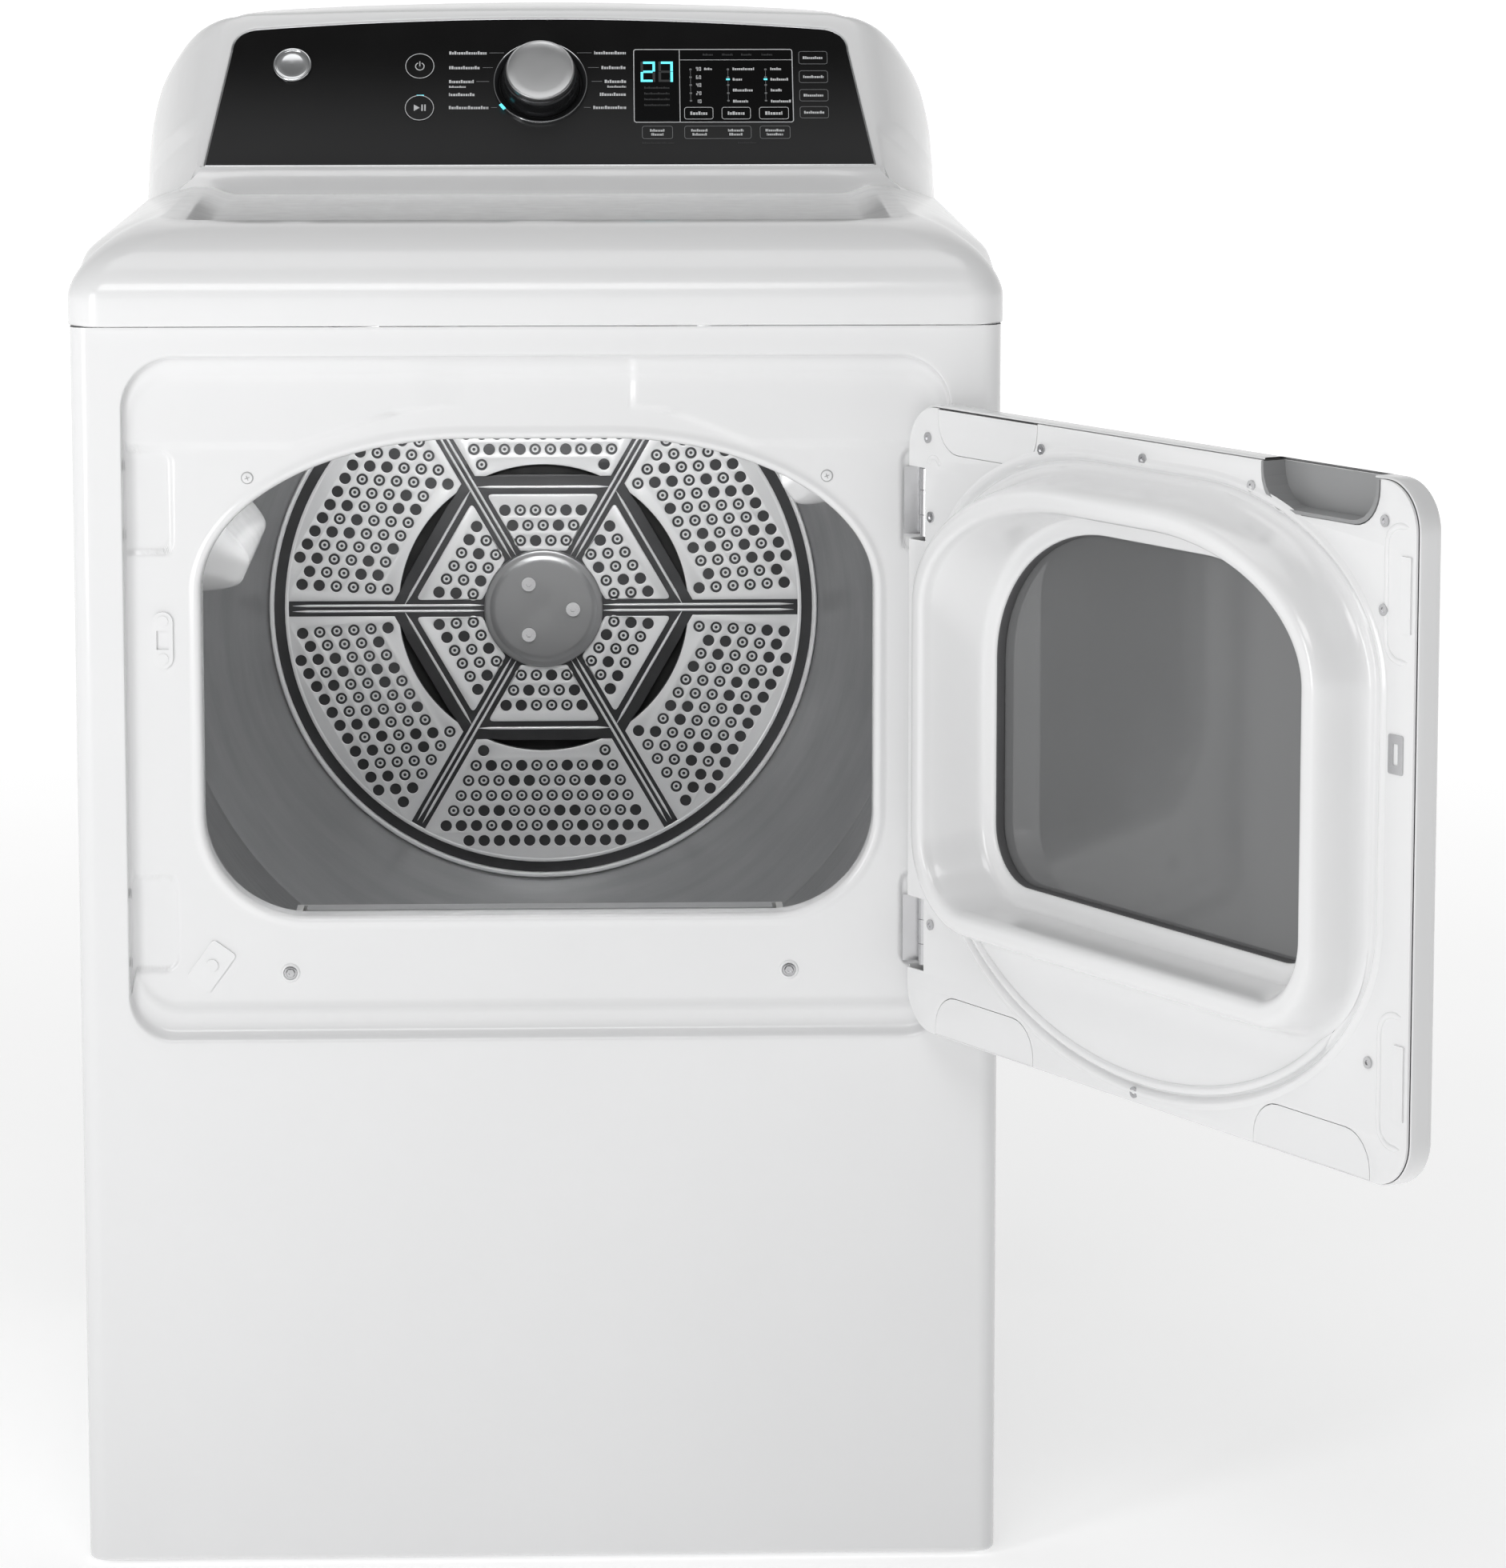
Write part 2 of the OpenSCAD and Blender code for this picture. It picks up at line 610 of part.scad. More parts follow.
module latch_receiver() color("whitesmoke") {
    difference() {
        along_y(floor_y - 2, floor_y) polygon(round_rect(-284, 681, -269, 723, 7.4));
        block([-281, floor_y - 3, 695], [-272, floor_y + 1, 709]);
    }
    for (z = [688, 716]) rod_y(4.2, floor_y - 2.6, floor_y - 2, -276.5, z, 24);
}

// A screw with a socket in its head.
module socket_screw(x, y, z, r, h) {
    difference() {
        rod_y(r, y - h, y, x, z, 32);
        rod_y(r * 0.5, y - h - 1, y - h / 2, x, z, 6);
    }
}

module front_screws() color("silver") for (s = [-1, 1]) {
    socket_screw(s * 185.4, floor_y, 451.3, 6.5, 3);
    socket_screw(s * 213, floor_y, 822, 4, 1);
}

module catch_plate() color("whitesmoke") translate([-244, 0, 457]) rotate([0, 36, 0]) {
    along_y(floor_y - 1.6, floor_y) polygon(round_rect(-10.5, -17.5, 10.5, 17.5, 3));
    rod_y(4.4, floor_y - 3, floor_y - 1.6, 0, 1);
}

module terminal_cover() color("lightgray") {
    along_y(rear_y, rear_y + 1.5) polygon(round_rect(cord_x - 60, 200, cord_x + 60, 290, 6));
    for (x = [-50, 50]) rod_y(4, rear_y + 1.5, rear_y + 4, cord_x + x, 280, 24);
}

// ---------------------------------------------------------------- door, drawn shut

module door_notches() {
    for (z = hinge_heights) block([hinge_x - 14, inner_y - 20.6, z - hinge_h / 2 - 2],
                                  [door_hw + 10, inner_y + 2, z + hinge_h / 2 + 2]);
}

// Outline of one handle recess in the door's rim; top recesses open upwards, bottom ones down.
module handle_hole(sx, top, e = 0) {
    z0 = top ? 844 + e : door_z0 - 2;
    z1 = top ? door_z1 + 2 : 443 - e;
    x0 = sx < 0 ? -256 + e : 130 + e;
    polygon(round_rect(x0, z0 - (top ? 0 : 30), x0 + 126 - 2 * e, z1 + (top ? 30 : 0), 26));
}

module door_outer_panel() color("white") swing_door() difference() {
    union() {
        along_y(outer_y, outer_y + 1.3) difference() {
            polygon(outline(door_line));
            polygon(outline(window, -6));
        }
        along_y(outer_y + 1.3, inner_y - 2.4) difference() {
            polygon(outline(door_line));
            polygon(outline(door_line, 1.4));
        }
    }
    door_notches();
    along_y(outer_y + 2, inner_y + 2) intersection() {
        handle_hole(-1, true, 1.6);
        translate([-300, door_z1 - 4]) square([600, 10]);
    }
}

// The bowl of the door's inner panel, hollow from behind, grown by e.
module door_bowl(e) {
    hull() {
        along_y(inner_y - 1, inner_y) polygon(outline(opening, 3 - e, 7));
        along_y(inner_y + bowl_h - 8 + e, inner_y + bowl_h - 7 + e) polygon(outline(opening, 5 - e, 7));
        along_y(inner_y + bowl_h - 1 + e, inner_y + bowl_h + e) polygon(outline(opening, 13 - e, 7));
    }
}

// The funnel from the bowl's crest down to the window, drawn in by e.
module door_funnel(e) {
    hull() {
        along_y(inner_y + bowl_h + 0.5, inner_y + bowl_h + 3) polygon(outline(opening, 24 - e, 7));
        along_y(inner_y - 6, inner_y - 5) polygon(outline(window, -e, 7));
    }
}

module door_inner_panel() color("whitesmoke") swing_door() {
    difference() {
        union() {
            along_y(inner_y - 2.2, inner_y) polygon(outline(door_line, 2));
            door_bowl(0);
        }
        door_funnel(0);
        difference() {
            union() {
                door_bowl(-2.4);
                along_y(inner_y - 4, inner_y - 0.5) polygon(outline(opening, 5.4, 7));
            }
            door_funnel(2.4);
        }
        door_notches();
        along_y(inner_y - 5, inner_y + 1) for (s = [-1, 1], top = [false, true]) handle_hole(s, top);
    }
}

module door_window() color([0.3, 0.3, 0.32, 0.7]) swing_door()
    along_y(outer_y + 1.4, outer_y + 5.4) polygon(outline(window, -12));

module window_gasket() color([0.15, 0.15, 0.15]) swing_door() along_y(outer_y + 5.5, inner_y - 2.4) difference() {
    polygon(outline(window, -10));
    polygon(outline(window, 1));
}

module door_seal() color("gainsboro") swing_door() difference() {
    along_y(inner_y + 0.1, inner_y + 3.5) difference() {
        polygon(outline(seal_line, 1));
        polygon(outline(seal_line, 8));
    }
    block([-300, -400, 500], [300, -300, 900]);
}

module handle_insert() color("darkgray") swing_door() difference() {
    intersection() {
        along_y(outer_y + 2.2, inner_y + 0.6) handle_hole(-1, true, 0.4);
        block([-300, -400, 800], [300, -300, door_z1 - 2]);
    }
    intersection() {
        along_y(outer_y + 4.2, inner_y + 2) handle_hole(-1, true, 2.8);
        block([-300, -400, 800], [300, -300, door_z1 + 10]);
    }
}

module door_blanks() color("whitesmoke") swing_door() {
    intersection() {
        along_y(inner_y - 2.2, inner_y - 0.1) {
            handle_hole(-1, false, 0.4);
            handle_hole(1, true, 0.4);
            handle_hole(1, false, 0.4);
        }
        block([-300, -400, door_z0 + 2.4], [300, -300, door_z1 - 2.4]);
    }
    for (z = hinge_heights) block([-290, inner_y + 0.1, z - hinge_h / 2], [-280, inner_y + 1.4, z + hinge_h / 2]);
}

module door_screws() color("silver") swing_door()
    for (p = [[268, 854], [264, 796], [124, 859], [3, 864], [-120, 858], [-262, 850], [-262, 792],
              [-253, 491], [6, 418.5], [262, 493]]) socket_screw_out(p[0], inner_y, p[1], 4, 1.4);

// A screw whose head stands out of the door's inner face.
module socket_screw_out(x, y, z, r, h) {
    difference() {
        rod_y(r, y + 0.05, y + h, x, z, 32);
        rod_y(r * 0.5, y + h / 2, y + h + 1, x, z, 6);
    }
}

module door_strike() color("silver") swing_door() {
    along_y(inner_y + 0.05, inner_y + 0.8) difference() {
        polygon(round_rect(-284, 686, -269, 712, 1.5, 3));
        polygon(round_rect(-279, 692, -274, 706, 0.5, 3));
    }
}

module hinge_leaves() color("silver") swing_door() for (z = hinge_heights) {
    difference() {
        union() {
            block([hinge_x - 12, hinge_y - 1.2, z + 9.4], [hinge_x, hinge_y + 1.2, z + hinge_h / 2]);
            block([hinge_x - 12, hinge_y - 1.2, z - hinge_h / 2], [hinge_x, hinge_y + 1.2, z - 9.4]);
            block([hinge_x - 13.8, hinge_y - 1.2, z - hinge_h / 2], [hinge_x - 11.8, hinge_y + 9, z + hinge_h / 2]);
            for (k = [9.4, -hinge_h / 2]) translate([hinge_x, hinge_y, z + k]) cylinder(r = 5, h = hinge_h / 2 - 9.4);
        }
        translate([hinge_x, hinge_y, z - 40]) cylinder(r = pin_r, h = 80);
    }
    translate([hinge_x, hinge_y, z - hinge_h / 2 - 0.5]) cylinder(r = pin_r, h = hinge_h + 1);
}

// ---------------------------------------------------------------- feet

module foot(k) color("dimgray") {
    sx = k % 2 == 0 ? -1 : 1;
    sy = k < 2 ? -1 : 1;
    translate([sx * foot_dx / 2, sy * foot_dy / 2, 0]) {
        rotate_extrude($fn = 64) polygon([[0, 0], [pad_r, 0], [pad_r, 8], [pad_r - 2, 9.5], [0, 9.5]]);
        translate([0, 0, 9.5]) cylinder(r = 11, h = underside_z - 9.7, $fn = 6);
        translate([0, 0, underside_z - 0.2]) cylinder(r = 4.95, h = 38);
    }
}

// ---------------------------------------------------------------- the nodes

base_pan();
side_panel(-1);  // left_side_panel
side_panel(1);  // right_side_panel
rear_panel();
front_panel();
top_cover();
console_shell();
control_fascia();
display_lens();
badge();
selector_bezel();
control_board();
front_bulkhead();
front_drum_seal();
heater_housing();
heater_coil();
rear_bearing();
trap_duct();
blower_housing();
exhaust_duct();
motor_casing();
drive_belt();
idler_spring();
hinge_brackets();
latch_receiver();
front_screws();
catch_plate();
terminal_cover();
drum_shell();
drum_rear_wall();
drum_spider();
hub_screws();
drum_shaft();
baffle(0);  // baffle_1
baffle(1);  // baffle_2
baffle(2);  // baffle_3
rotor_shaft();
motor_pulley();
blower_wheel();
idler_arm();
idler_wheel();
door_outer_panel();
door_inner_panel();
door_window();
window_gasket();
door_seal();
handle_insert();
door_blanks();
door_screws();
door_strike();
hinge_leaves();
filter_frame();
filter_screen();
selector_knob();
push_button(buttons[0]);  // power_button
push_button(buttons[1]);  // start_button
foot(0);  // foot_1
foot(1);  // foot_2
foot(2);  // foot_3
foot(3);  // foot_4
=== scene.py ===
"""Looks of the clothes dryer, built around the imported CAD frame. Mesh sizes are in mm."""

import json
import math

import bmesh
import bpy
import numpy as np
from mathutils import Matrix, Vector


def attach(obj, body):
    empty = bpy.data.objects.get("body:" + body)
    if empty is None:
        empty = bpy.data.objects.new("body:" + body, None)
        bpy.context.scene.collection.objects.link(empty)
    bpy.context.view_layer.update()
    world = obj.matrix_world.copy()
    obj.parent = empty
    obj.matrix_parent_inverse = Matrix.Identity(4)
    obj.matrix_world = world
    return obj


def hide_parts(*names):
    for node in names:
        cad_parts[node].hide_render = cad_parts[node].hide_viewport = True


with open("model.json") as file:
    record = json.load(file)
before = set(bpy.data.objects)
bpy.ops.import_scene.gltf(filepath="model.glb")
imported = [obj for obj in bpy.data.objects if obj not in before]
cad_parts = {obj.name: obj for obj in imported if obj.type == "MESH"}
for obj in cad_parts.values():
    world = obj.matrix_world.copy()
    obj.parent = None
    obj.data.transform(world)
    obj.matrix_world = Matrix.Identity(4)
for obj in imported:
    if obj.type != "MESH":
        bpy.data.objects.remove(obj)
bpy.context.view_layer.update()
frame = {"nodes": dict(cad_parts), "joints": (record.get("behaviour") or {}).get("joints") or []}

MM = 0.001
MICRON = 1e-6
nodes_by_name = frame["nodes"]
joints = {j["name"]: j for j in frame["joints"]}

# ------------------------------------------------------------------ materials


def new_tree(name):
    mat = bpy.data.materials.new(name)
    mat.use_nodes = True
    tree = mat.node_tree
    return mat, tree, tree.nodes["Principled BSDF"]


def add(tree, kind, **settings):
    node = tree.nodes.new(kind)
    for key, value in settings.items():
        if key in node.inputs.keys():
            node.inputs[key].default_value = value
        else:
            setattr(node, key, value)
    return node


def feed(tree, shader, **sources):
    for key, source in sources.items():
        tree.links.new(source, shader.inputs[key.replace("_", " ")])


def set_shader(shader, **settings):
    for key, value in settings.items():
        shader.inputs[key.replace("_", " ")].default_value = value


def object_coords(tree, stretch=(1, 1, 1)):
    coords = add(tree, "ShaderNodeTexCoord")
    mapping = add(tree, "ShaderNodeMapping", Scale=stretch)
    feed(tree, mapping, Vector=coords.outputs["Object"])
    return mapping.outputs["Vector"]


def z_and_y(tree, space):
    coords = add(tree, "ShaderNodeTexCoord")
    split = add(tree, "ShaderNodeSeparateXYZ")
    feed(tree, split, Vector=coords.outputs[space])
    return split.outputs["Z"], split.outputs["Y"]


def noise(tree, vector, scale, detail=3.0, rough=0.5):
    node = add(tree, "ShaderNodeTexNoise", Scale=scale, Detail=detail, Roughness=rough)
    feed(tree, node, Vector=vector)
    return node.outputs["Fac"]


def mapped(tree, value, low, high, source=(0.3, 0.7)):
    node = add(tree, "ShaderNodeMapRange")
    set_shader(node, From_Min=source[0], From_Max=source[1], To_Min=low, To_Max=high)
    feed(tree, node, Value=value)
    return node.outputs["Result"]


def blend_colours(tree, value, dark, light, span=(0.3, 0.7), ease="LINEAR"):
    ramp = add(tree, "ShaderNodeValToRGB")
    ramp.color_ramp.interpolation = ease
    for stop, place, colour in zip(ramp.color_ramp.elements, span, (dark, light)):
        stop.position, stop.color = place, (*colour, 1)
    feed(tree, ramp, Fac=value)
    return ramp.outputs["Color"]


def bump(tree, shader, height, strength, distance):
    node = add(tree, "ShaderNodeBump", Strength=strength, Distance=distance)
    feed(tree, node, Height=height)
    feed(tree, shader, Normal=node.outputs["Normal"])


def surface(name, dark, light, rough, metal=0.0, grain=400.0, relief=50, strength=0.2,
            patches=9.0, stretch=(1, 1, 1), **settings):
    """A finish with slow colour drift, uneven roughness and fine relief (in microns), all from noise."""
    mat, tree, shader = new_tree(name)
    coords = object_coords(tree, stretch)
    feed(tree, shader, Base_Color=blend_colours(tree, noise(tree, coords, patches, 4.0), dark, light),
         Roughness=mapped(tree, noise(tree, coords, patches * 5, 5.0), *rough))
    bump(tree, shader, noise(tree, coords, grain, 2.0), strength, relief * MICRON)
    set_shader(shader, Metallic=metal, **settings)
    return mat


def near(colour, spread):
    return tuple(c * (1 - spread) for c in colour), tuple(min(1.0, c * (1 + spread)) for c in colour)


def spangle(name, dark, light, rough):
    """Zinc coating: crystals of slightly different tone and gloss."""
    mat, tree, shader = new_tree(name)
    coords = object_coords(tree)
    cells = add(tree, "ShaderNodeTexVoronoi", Scale=90.0, Randomness=1.0)
    tone = add(tree, "ShaderNodeSeparateColor")
    feed(tree, cells, Vector=coords)
    feed(tree, tone, Color=cells.outputs["Color"])
    feed(tree, shader, Base_Color=blend_colours(tree, tone.outputs["Red"], dark, light),
         Roughness=mapped(tree, tone.outputs["Green"], *rough, source=(0, 1)))
    bump(tree, shader, noise(tree, coords, 700.0), 0.15, 30 * MICRON)
    set_shader(shader, Metallic=1.0)
    return mat


def gradient_black(name, low_z, high_z, bottom, top, rough, specular):
    """Gloss black that lightens towards its lower edge."""
    mat, tree, shader = new_tree(name)
    rise = mapped(tree, z_and_y(tree, "Object")[0], 0.0, 1.0, source=(low_z, high_z))
    feed(tree, shader, Base_Color=blend_colours(tree, rise, bottom, top, (0, 1), "EASE"),
         Roughness=mapped(tree, noise(tree, object_coords(tree), 30.0, 4.0), *rough))
    set_shader(shader, Specular_IOR_Level=specular)
    return mat


def circuit(name):
    mat, tree, shader = new_tree(name)
    coords = object_coords(tree)
    tracks = add(tree, "ShaderNodeTexBrick", Scale=120.0, Color1=(0.012, 0.085, 0.03, 1),
                 Color2=(0.016, 0.11, 0.04, 1), Mortar=(0.1, 0.2, 0.06, 1))
    feed(tree, tracks, Vector=coords)
    feed(tree, shader, Base_Color=tracks.outputs["Color"],
         Roughness=mapped(tree, noise(tree, coords, 80.0), 0.3, 0.45))
    bump(tree, shader, tracks.outputs["Fac"], 0.3, 100 * MICRON)
    return mat


def mesh_screen(name):
    mat, tree, shader = new_tree(name)
    coords = object_coords(tree)
    weave = add(tree, "ShaderNodeTexChecker", Scale=900.0)
    feed(tree, weave, Vector=coords)
    wires = blend_colours(tree, weave.outputs["Fac"], (0.32, 0.33, 0.34), (0.6, 0.61, 0.62), (0, 1))
    feed(tree, shader, Base_Color=wires, Roughness=mapped(tree, noise(tree, coords, 60.0), 0.4, 0.6))
    bump(tree, shader, weave.outputs["Fac"], 0.5, 300 * MICRON)
    set_shader(shader, Metallic=0.6)
    return mat


def tinted_glass(name):
    mat, tree, shader = new_tree(name)
    coords = object_coords(tree)
    tint = blend_colours(tree, noise(tree, coords, 3.0), (0.19, 0.192, 0.195), (0.21, 0.212, 0.215))
    feed(tree, shader, Base_Color=tint, Roughness=mapped(tree, noise(tree, coords, 25.0), 0.03, 0.07))
    set_shader(shader, IOR=1.5, Transmission_Weight=0.35)
    return mat


def glow(name, colour, strength):
    mat, tree, shader = new_tree(name)
    coords = object_coords(tree)
    feed(tree, shader, Base_Color=blend_colours(tree, noise(tree, coords, 400.0), *near(colour, 0.08)),
         Emission_Color=blend_colours(tree, noise(tree, coords, 300.0), *near(colour, 0.08)))
    set_shader(shader, Emission_Strength=strength, Roughness=0.5)
    return mat


# Darkest and lightest colour, roughness range, metallic, grain scale, relief in microns, bump strength.
# Each roughness range stays on one side of 0.274, where the denoiser changes its treatment and leaves flecks.
SURFACES = {
    "enamel": (*near((0.83, 0.832, 0.836), 0.006), (0.2, 0.27), 0, 520, 80, 0.12),
    "white_plastic": (*near((0.84, 0.842, 0.846), 0.006), (0.2, 0.27), 0, 520, 80, 0.12),
    "console_plastic": (*near((0.84, 0.842, 0.845), 0.006), (0.2, 0.27), 0, 520, 80, 0.12),
    "chrome": ((0.62, 0.63, 0.64), (0.72, 0.73, 0.74), (0.08, 0.16), 1, 900, 20, 0.05),
    "knob_metal": ((0.44, 0.443, 0.447), (0.5, 0.503, 0.507), (0.3, 0.36), 1, 500, 10, 0.04),
    "dark_metal": ((0.03, 0.031, 0.033), (0.06, 0.061, 0.064), (0.15, 0.25), 0.8, 700, 30, 0.1),
    "drum_steel": ((0.4, 0.403, 0.407), (0.46, 0.463, 0.467), (0.32, 0.42), 0.85, 60, 200, 0.08),
    "bright_steel": ((0.8, 0.803, 0.807), (0.88, 0.882, 0.885), (0.3, 0.4), 0.35, 500, 50, 0.15),
    # Painted shade: a near-black sheet for the shade seen through the drum's holes and the channels between its
    # plates.
    "painted_hole_shade": ((0.05, 0.05, 0.052), (0.09, 0.09, 0.093), (0.3, 0.45), 0.6, 500, 50, 0.2),
    "hub_grey": (*near((0.3, 0.302, 0.305), 0.03), (0.3, 0.4), 0.6, 500, 20, 0.05),
    # Painted shade: an almost black for the shade seen through the gaps round the drum's spider.
    "painted_shade_black": ((0.004, 0.004, 0.004), (0.012, 0.012, 0.012), (0.6, 0.8), 0, 300, 50, 0.2),
    # Painted shade: a grey for the shade in the gap round each recess plug, in the plugs' slots and in the holes of
    # the recess wall.
    "painted_gap_shade": (*near((0.47, 0.473, 0.477), 0.01), (0.3, 0.38), 0, 520, 60, 0.12),
    "screw_steel": ((0.45, 0.45, 0.46), (0.6, 0.6, 0.61), (0.18, 0.26), 1, 900, 30, 0.2),
    "heater_wire": ((0.16, 0.14, 0.13), (0.3, 0.26, 0.24), (0.4, 0.6), 0.9, 900, 100, 0.4),
    "grey_plastic": (*near((0.4, 0.405, 0.41), 0.03), (0.4, 0.5), 0, 1200, 40, 0.25),
    "handle_grey": (*near((0.3, 0.303, 0.307), 0.02), (0.3, 0.38), 0, 1400, 30, 0.15),
    "duct_plastic": (*near((0.56, 0.56, 0.55), 0.03), (0.45, 0.55), 0, 500, 100, 0.3),
    "motor_paint": (*near((0.09, 0.095, 0.1), 0.15), (0.4, 0.55), 0, 600, 100, 0.4),
    "belt_rubber": (*near((0.03, 0.03, 0.031), 0.2), (0.55, 0.75), 0, 300, 200, 0.5),
    "gasket_rubber": (*near((0.1, 0.1, 0.103), 0.08), (0.45, 0.6), 0, 1500, 40, 0.3),
    "foot_rubber": (*near((0.06, 0.06, 0.063), 0.1), (0.6, 0.75), 0, 900, 100, 0.4),
    "felt": (*near((0.55, 0.5, 0.42), 0.12), (0.85, 0.95), 0, 1600, 600, 0.9),
    "print": (*near((0.62, 0.63, 0.64), 0.03), (0.5, 0.6), 0, 2000, 50, 0.2),
    "print_dim": (*near((0.2, 0.205, 0.21), 0.03), (0.5, 0.6), 0, 2000, 50, 0.2),
    "print_faint": (*near((0.022, 0.023, 0.024), 0.05), (0.4, 0.5), 0, 2000, 50, 0.2),
}
GLOSS_COAT = dict(Coat_Weight=0.35, Coat_Roughness=0.08)
EXTRAS = {"enamel": GLOSS_COAT, "white_plastic": GLOSS_COAT, "console_plastic": GLOSS_COAT,
          "drum_steel": dict(stretch=(1, 8, 1)), "felt": dict(patches=60.0, Sheen_Weight=0.4)}
M = {name: surface(name, *row, **EXTRAS.get(name, {})) for name, row in SURFACES.items()}
M["zinc"] = spangle("zinc", (0.42, 0.44, 0.46), (0.58, 0.6, 0.62), (0.3, 0.5))
M["galvanised"] = spangle("galvanised", (0.58, 0.593, 0.605), (0.64, 0.652, 0.665), (0.32, 0.46))
M["circuit"] = circuit("circuit")
M["screen"] = mesh_screen("screen")
M["glass"] = tinted_glass("glass")
M["fascia"] = gradient_black("fascia", 1.03, 1.12, (0.035, 0.0352, 0.036), (0.0025, 0.0025, 0.0026),
                             (0.1, 0.16), 0.25)
M["display"] = gradient_black("display", 1.04, 1.1, (0.004, 0.0042, 0.0045), (0.002, 0.002, 0.0022),
                              (0.06, 0.1), 0.2)
M["cyan_glow"] = glow("cyan_glow", (0.12, 0.72, 0.83), 0.9)

# The finish of every CAD node, seen on those that no piece replaces.
FINISH = {
    "enamel": "left_side_panel right_side_panel front_panel door_outer_panel",
    "white_plastic": "top_cover door_inner_panel door_blanks latch_receiver catch_plate baffle_1 baffle_2 baffle_3 "
                     "door_seal",
    "console_plastic": "console_shell",
    "galvanised": "rear_panel base_pan front_bulkhead heater_housing exhaust_duct terminal_cover",
    "zinc": "drum_shaft idler_arm idler_spring rotor_shaft",
    "drum_steel": "drum_shell",
    "bright_steel": "drum_rear_wall drum_spider",
    "screw_steel": "hub_screws front_screws door_screws door_strike hinge_leaves hinge_brackets",
    "heater_wire": "heater_coil",
    "grey_plastic": "filter_frame",
    "handle_grey": "handle_insert",
    "duct_plastic": "trap_duct blower_housing blower_wheel idler_wheel",
    "motor_paint": "motor_casing motor_pulley rear_bearing",
    "belt_rubber": "drive_belt",
    "gasket_rubber": "window_gasket",
    "foot_rubber": "foot_1 foot_2 foot_3 foot_4",
    "felt": "front_drum_seal",
    "circuit": "control_board",
    "screen": "filter_screen",
    "glass": "door_window",
    "fascia": "control_fascia power_button start_button",
    "display": "display_lens",
    "chrome": "badge",
    "dark_metal": "selector_bezel",
    "knob_metal": "selector_knob",
}
# Widths in mm of the rounded edges that CAD nodes get.
BEVELS = {"base_pan": 0.4, "left_side_panel": 0.4, "right_side_panel": 0.4, "terminal_cover": 0.5,
          "hinge_leaves": 0.25, "hinge_brackets": 0.25, "filter_frame": 0.8, "latch_receiver": 0.3,
          "catch_plate": 0.4, "handle_insert": 0.3, "motor_casing": 0.8, "trap_duct": 0.4,
          "drum_shaft": 0.5, "idler_arm": 0.3, "foot_1": 0.5, "foot_2": 0.5, "foot_3": 0.5, "foot_4": 0.5}
for finish, names in FINISH.items():
    for name in names.split():
        cad = nodes_by_name[name]
        cad.data.materials.clear()
        cad.data.materials.append(M[finish])
for name, width in BEVELS.items():
    bevel = nodes_by_name[name].modifiers.new("edge", "BEVEL")
    bevel.width, bevel.segments = width * MM, 2
    bevel.limit_method, bevel.angle_limit = "ANGLE", math.radians(40)
    bevel.use_clamp_overlap = True


# ------------------------------------------------------------------ stage


def area_light(name, place, aim, size, power):
    light = bpy.data.lights.new(name, "AREA")
    light.shape, light.size, light.size_y, light.energy = "RECTANGLE", size[0], size[1], power
    lamp = bpy.data.objects.new(name, light)
    bpy.context.collection.objects.link(lamp)
    lamp.location = place
    lamp.rotation_euler = (Vector(aim) - Vector(place)).to_track_quat("-Z", "Y").to_euler()


def studio_floor():
    """Pale paper that brightens into a lit backdrop away from the object."""
    mat = surface("floor_paper", *near((0.86, 0.86, 0.86), 0.004), (0.6, 0.7), 0, 30, 100, 0.1, patches=0.5,
                  Emission_Strength=0.8)
    tree = mat.node_tree
    distance = add(tree, "ShaderNodeVectorMath", operation="LENGTH")
    tree.links.new(object_coords(tree), distance.inputs[0])
    rise = mapped(tree, distance.outputs["Value"], 0.5, 1.0, source=(0.6, 5.0))
    feed(tree, tree.nodes["Principled BSDF"], Emission_Color=rise)
    return mat


def build_stage():
    bm = bmesh.new()
    bmesh.ops.create_circle(bm, cap_ends=True, radius=60.0, segments=96)
    floor_mesh = bpy.data.meshes.new("floor")
    bm.to_mesh(floor_mesh)
    bm.free()
    floor = bpy.data.objects.new("floor", floor_mesh)
    floor_mesh.materials.append(studio_floor())
    bpy.context.collection.objects.link(floor)

    world = bpy.data.worlds.new("studio")
    bpy.context.scene.world = world
    world.use_nodes = True
    tree = world.node_tree
    up, back = z_and_y(tree, "Generated")
    ramp = add(tree, "ShaderNodeValToRGB")
    ramp.color_ramp.interpolation = "EASE"
    stops = ramp.color_ramp.elements
    stops[0].position, stops[0].color = 0.0, (1, 1, 1, 1)
    stops[1].position, stops[1].color = 1.0, (1, 1, 1, 1)
    for place, value in ((0.25, 0.8), (0.5, 0.5), (0.8, 0.6)):
        stop = stops.new(place)
        stop.color = (value, value, value, 1)
    feed(tree, ramp, Fac=up)
    feed(tree, tree.nodes["Background"], Color=ramp.outputs["Color"],
         Strength=mapped(tree, back, 0.34, 1.02, source=(-0.1, 0.85)))

    area_light("key", (-0.3, -2.4, 2.6), (0, -0.3, 0.7), (1.4, 0.9), 16.0)
    area_light("side", (-1.1, -1.65, 0.95), (0.1, -0.4, 0.65), (0.4, 0.9), 8.0)
    area_light("top", (0, 0.1, 3.0), (0, 0.05, 1.0), (1.8, 1.2), 8.0)
    area_light("drum_lamp", (0, -0.2, 0.925), (0, 0.25, 0.62), (0.3, 0.08), 1.9)


def build_camera():
    scene = bpy.context.scene
    camera_data = bpy.data.cameras.new("camera")
    camera = bpy.data.objects.new("camera", camera_data)
    bpy.context.collection.objects.link(camera)
    camera.location = (0.0299, -4.1958, 1.2795)
    camera.rotation_euler = (math.radians(90 - 7.55), 0, math.radians(-1.91))
    camera_data.sensor_width = 36.0
    camera_data.lens = 121.14
    camera_data.shift_y = -0.15
    camera_data.clip_end = 200.0
    scene.camera = camera
    scene.view_settings.view_transform = "Standard"


# ------------------------------------------------------------------ mesh helpers


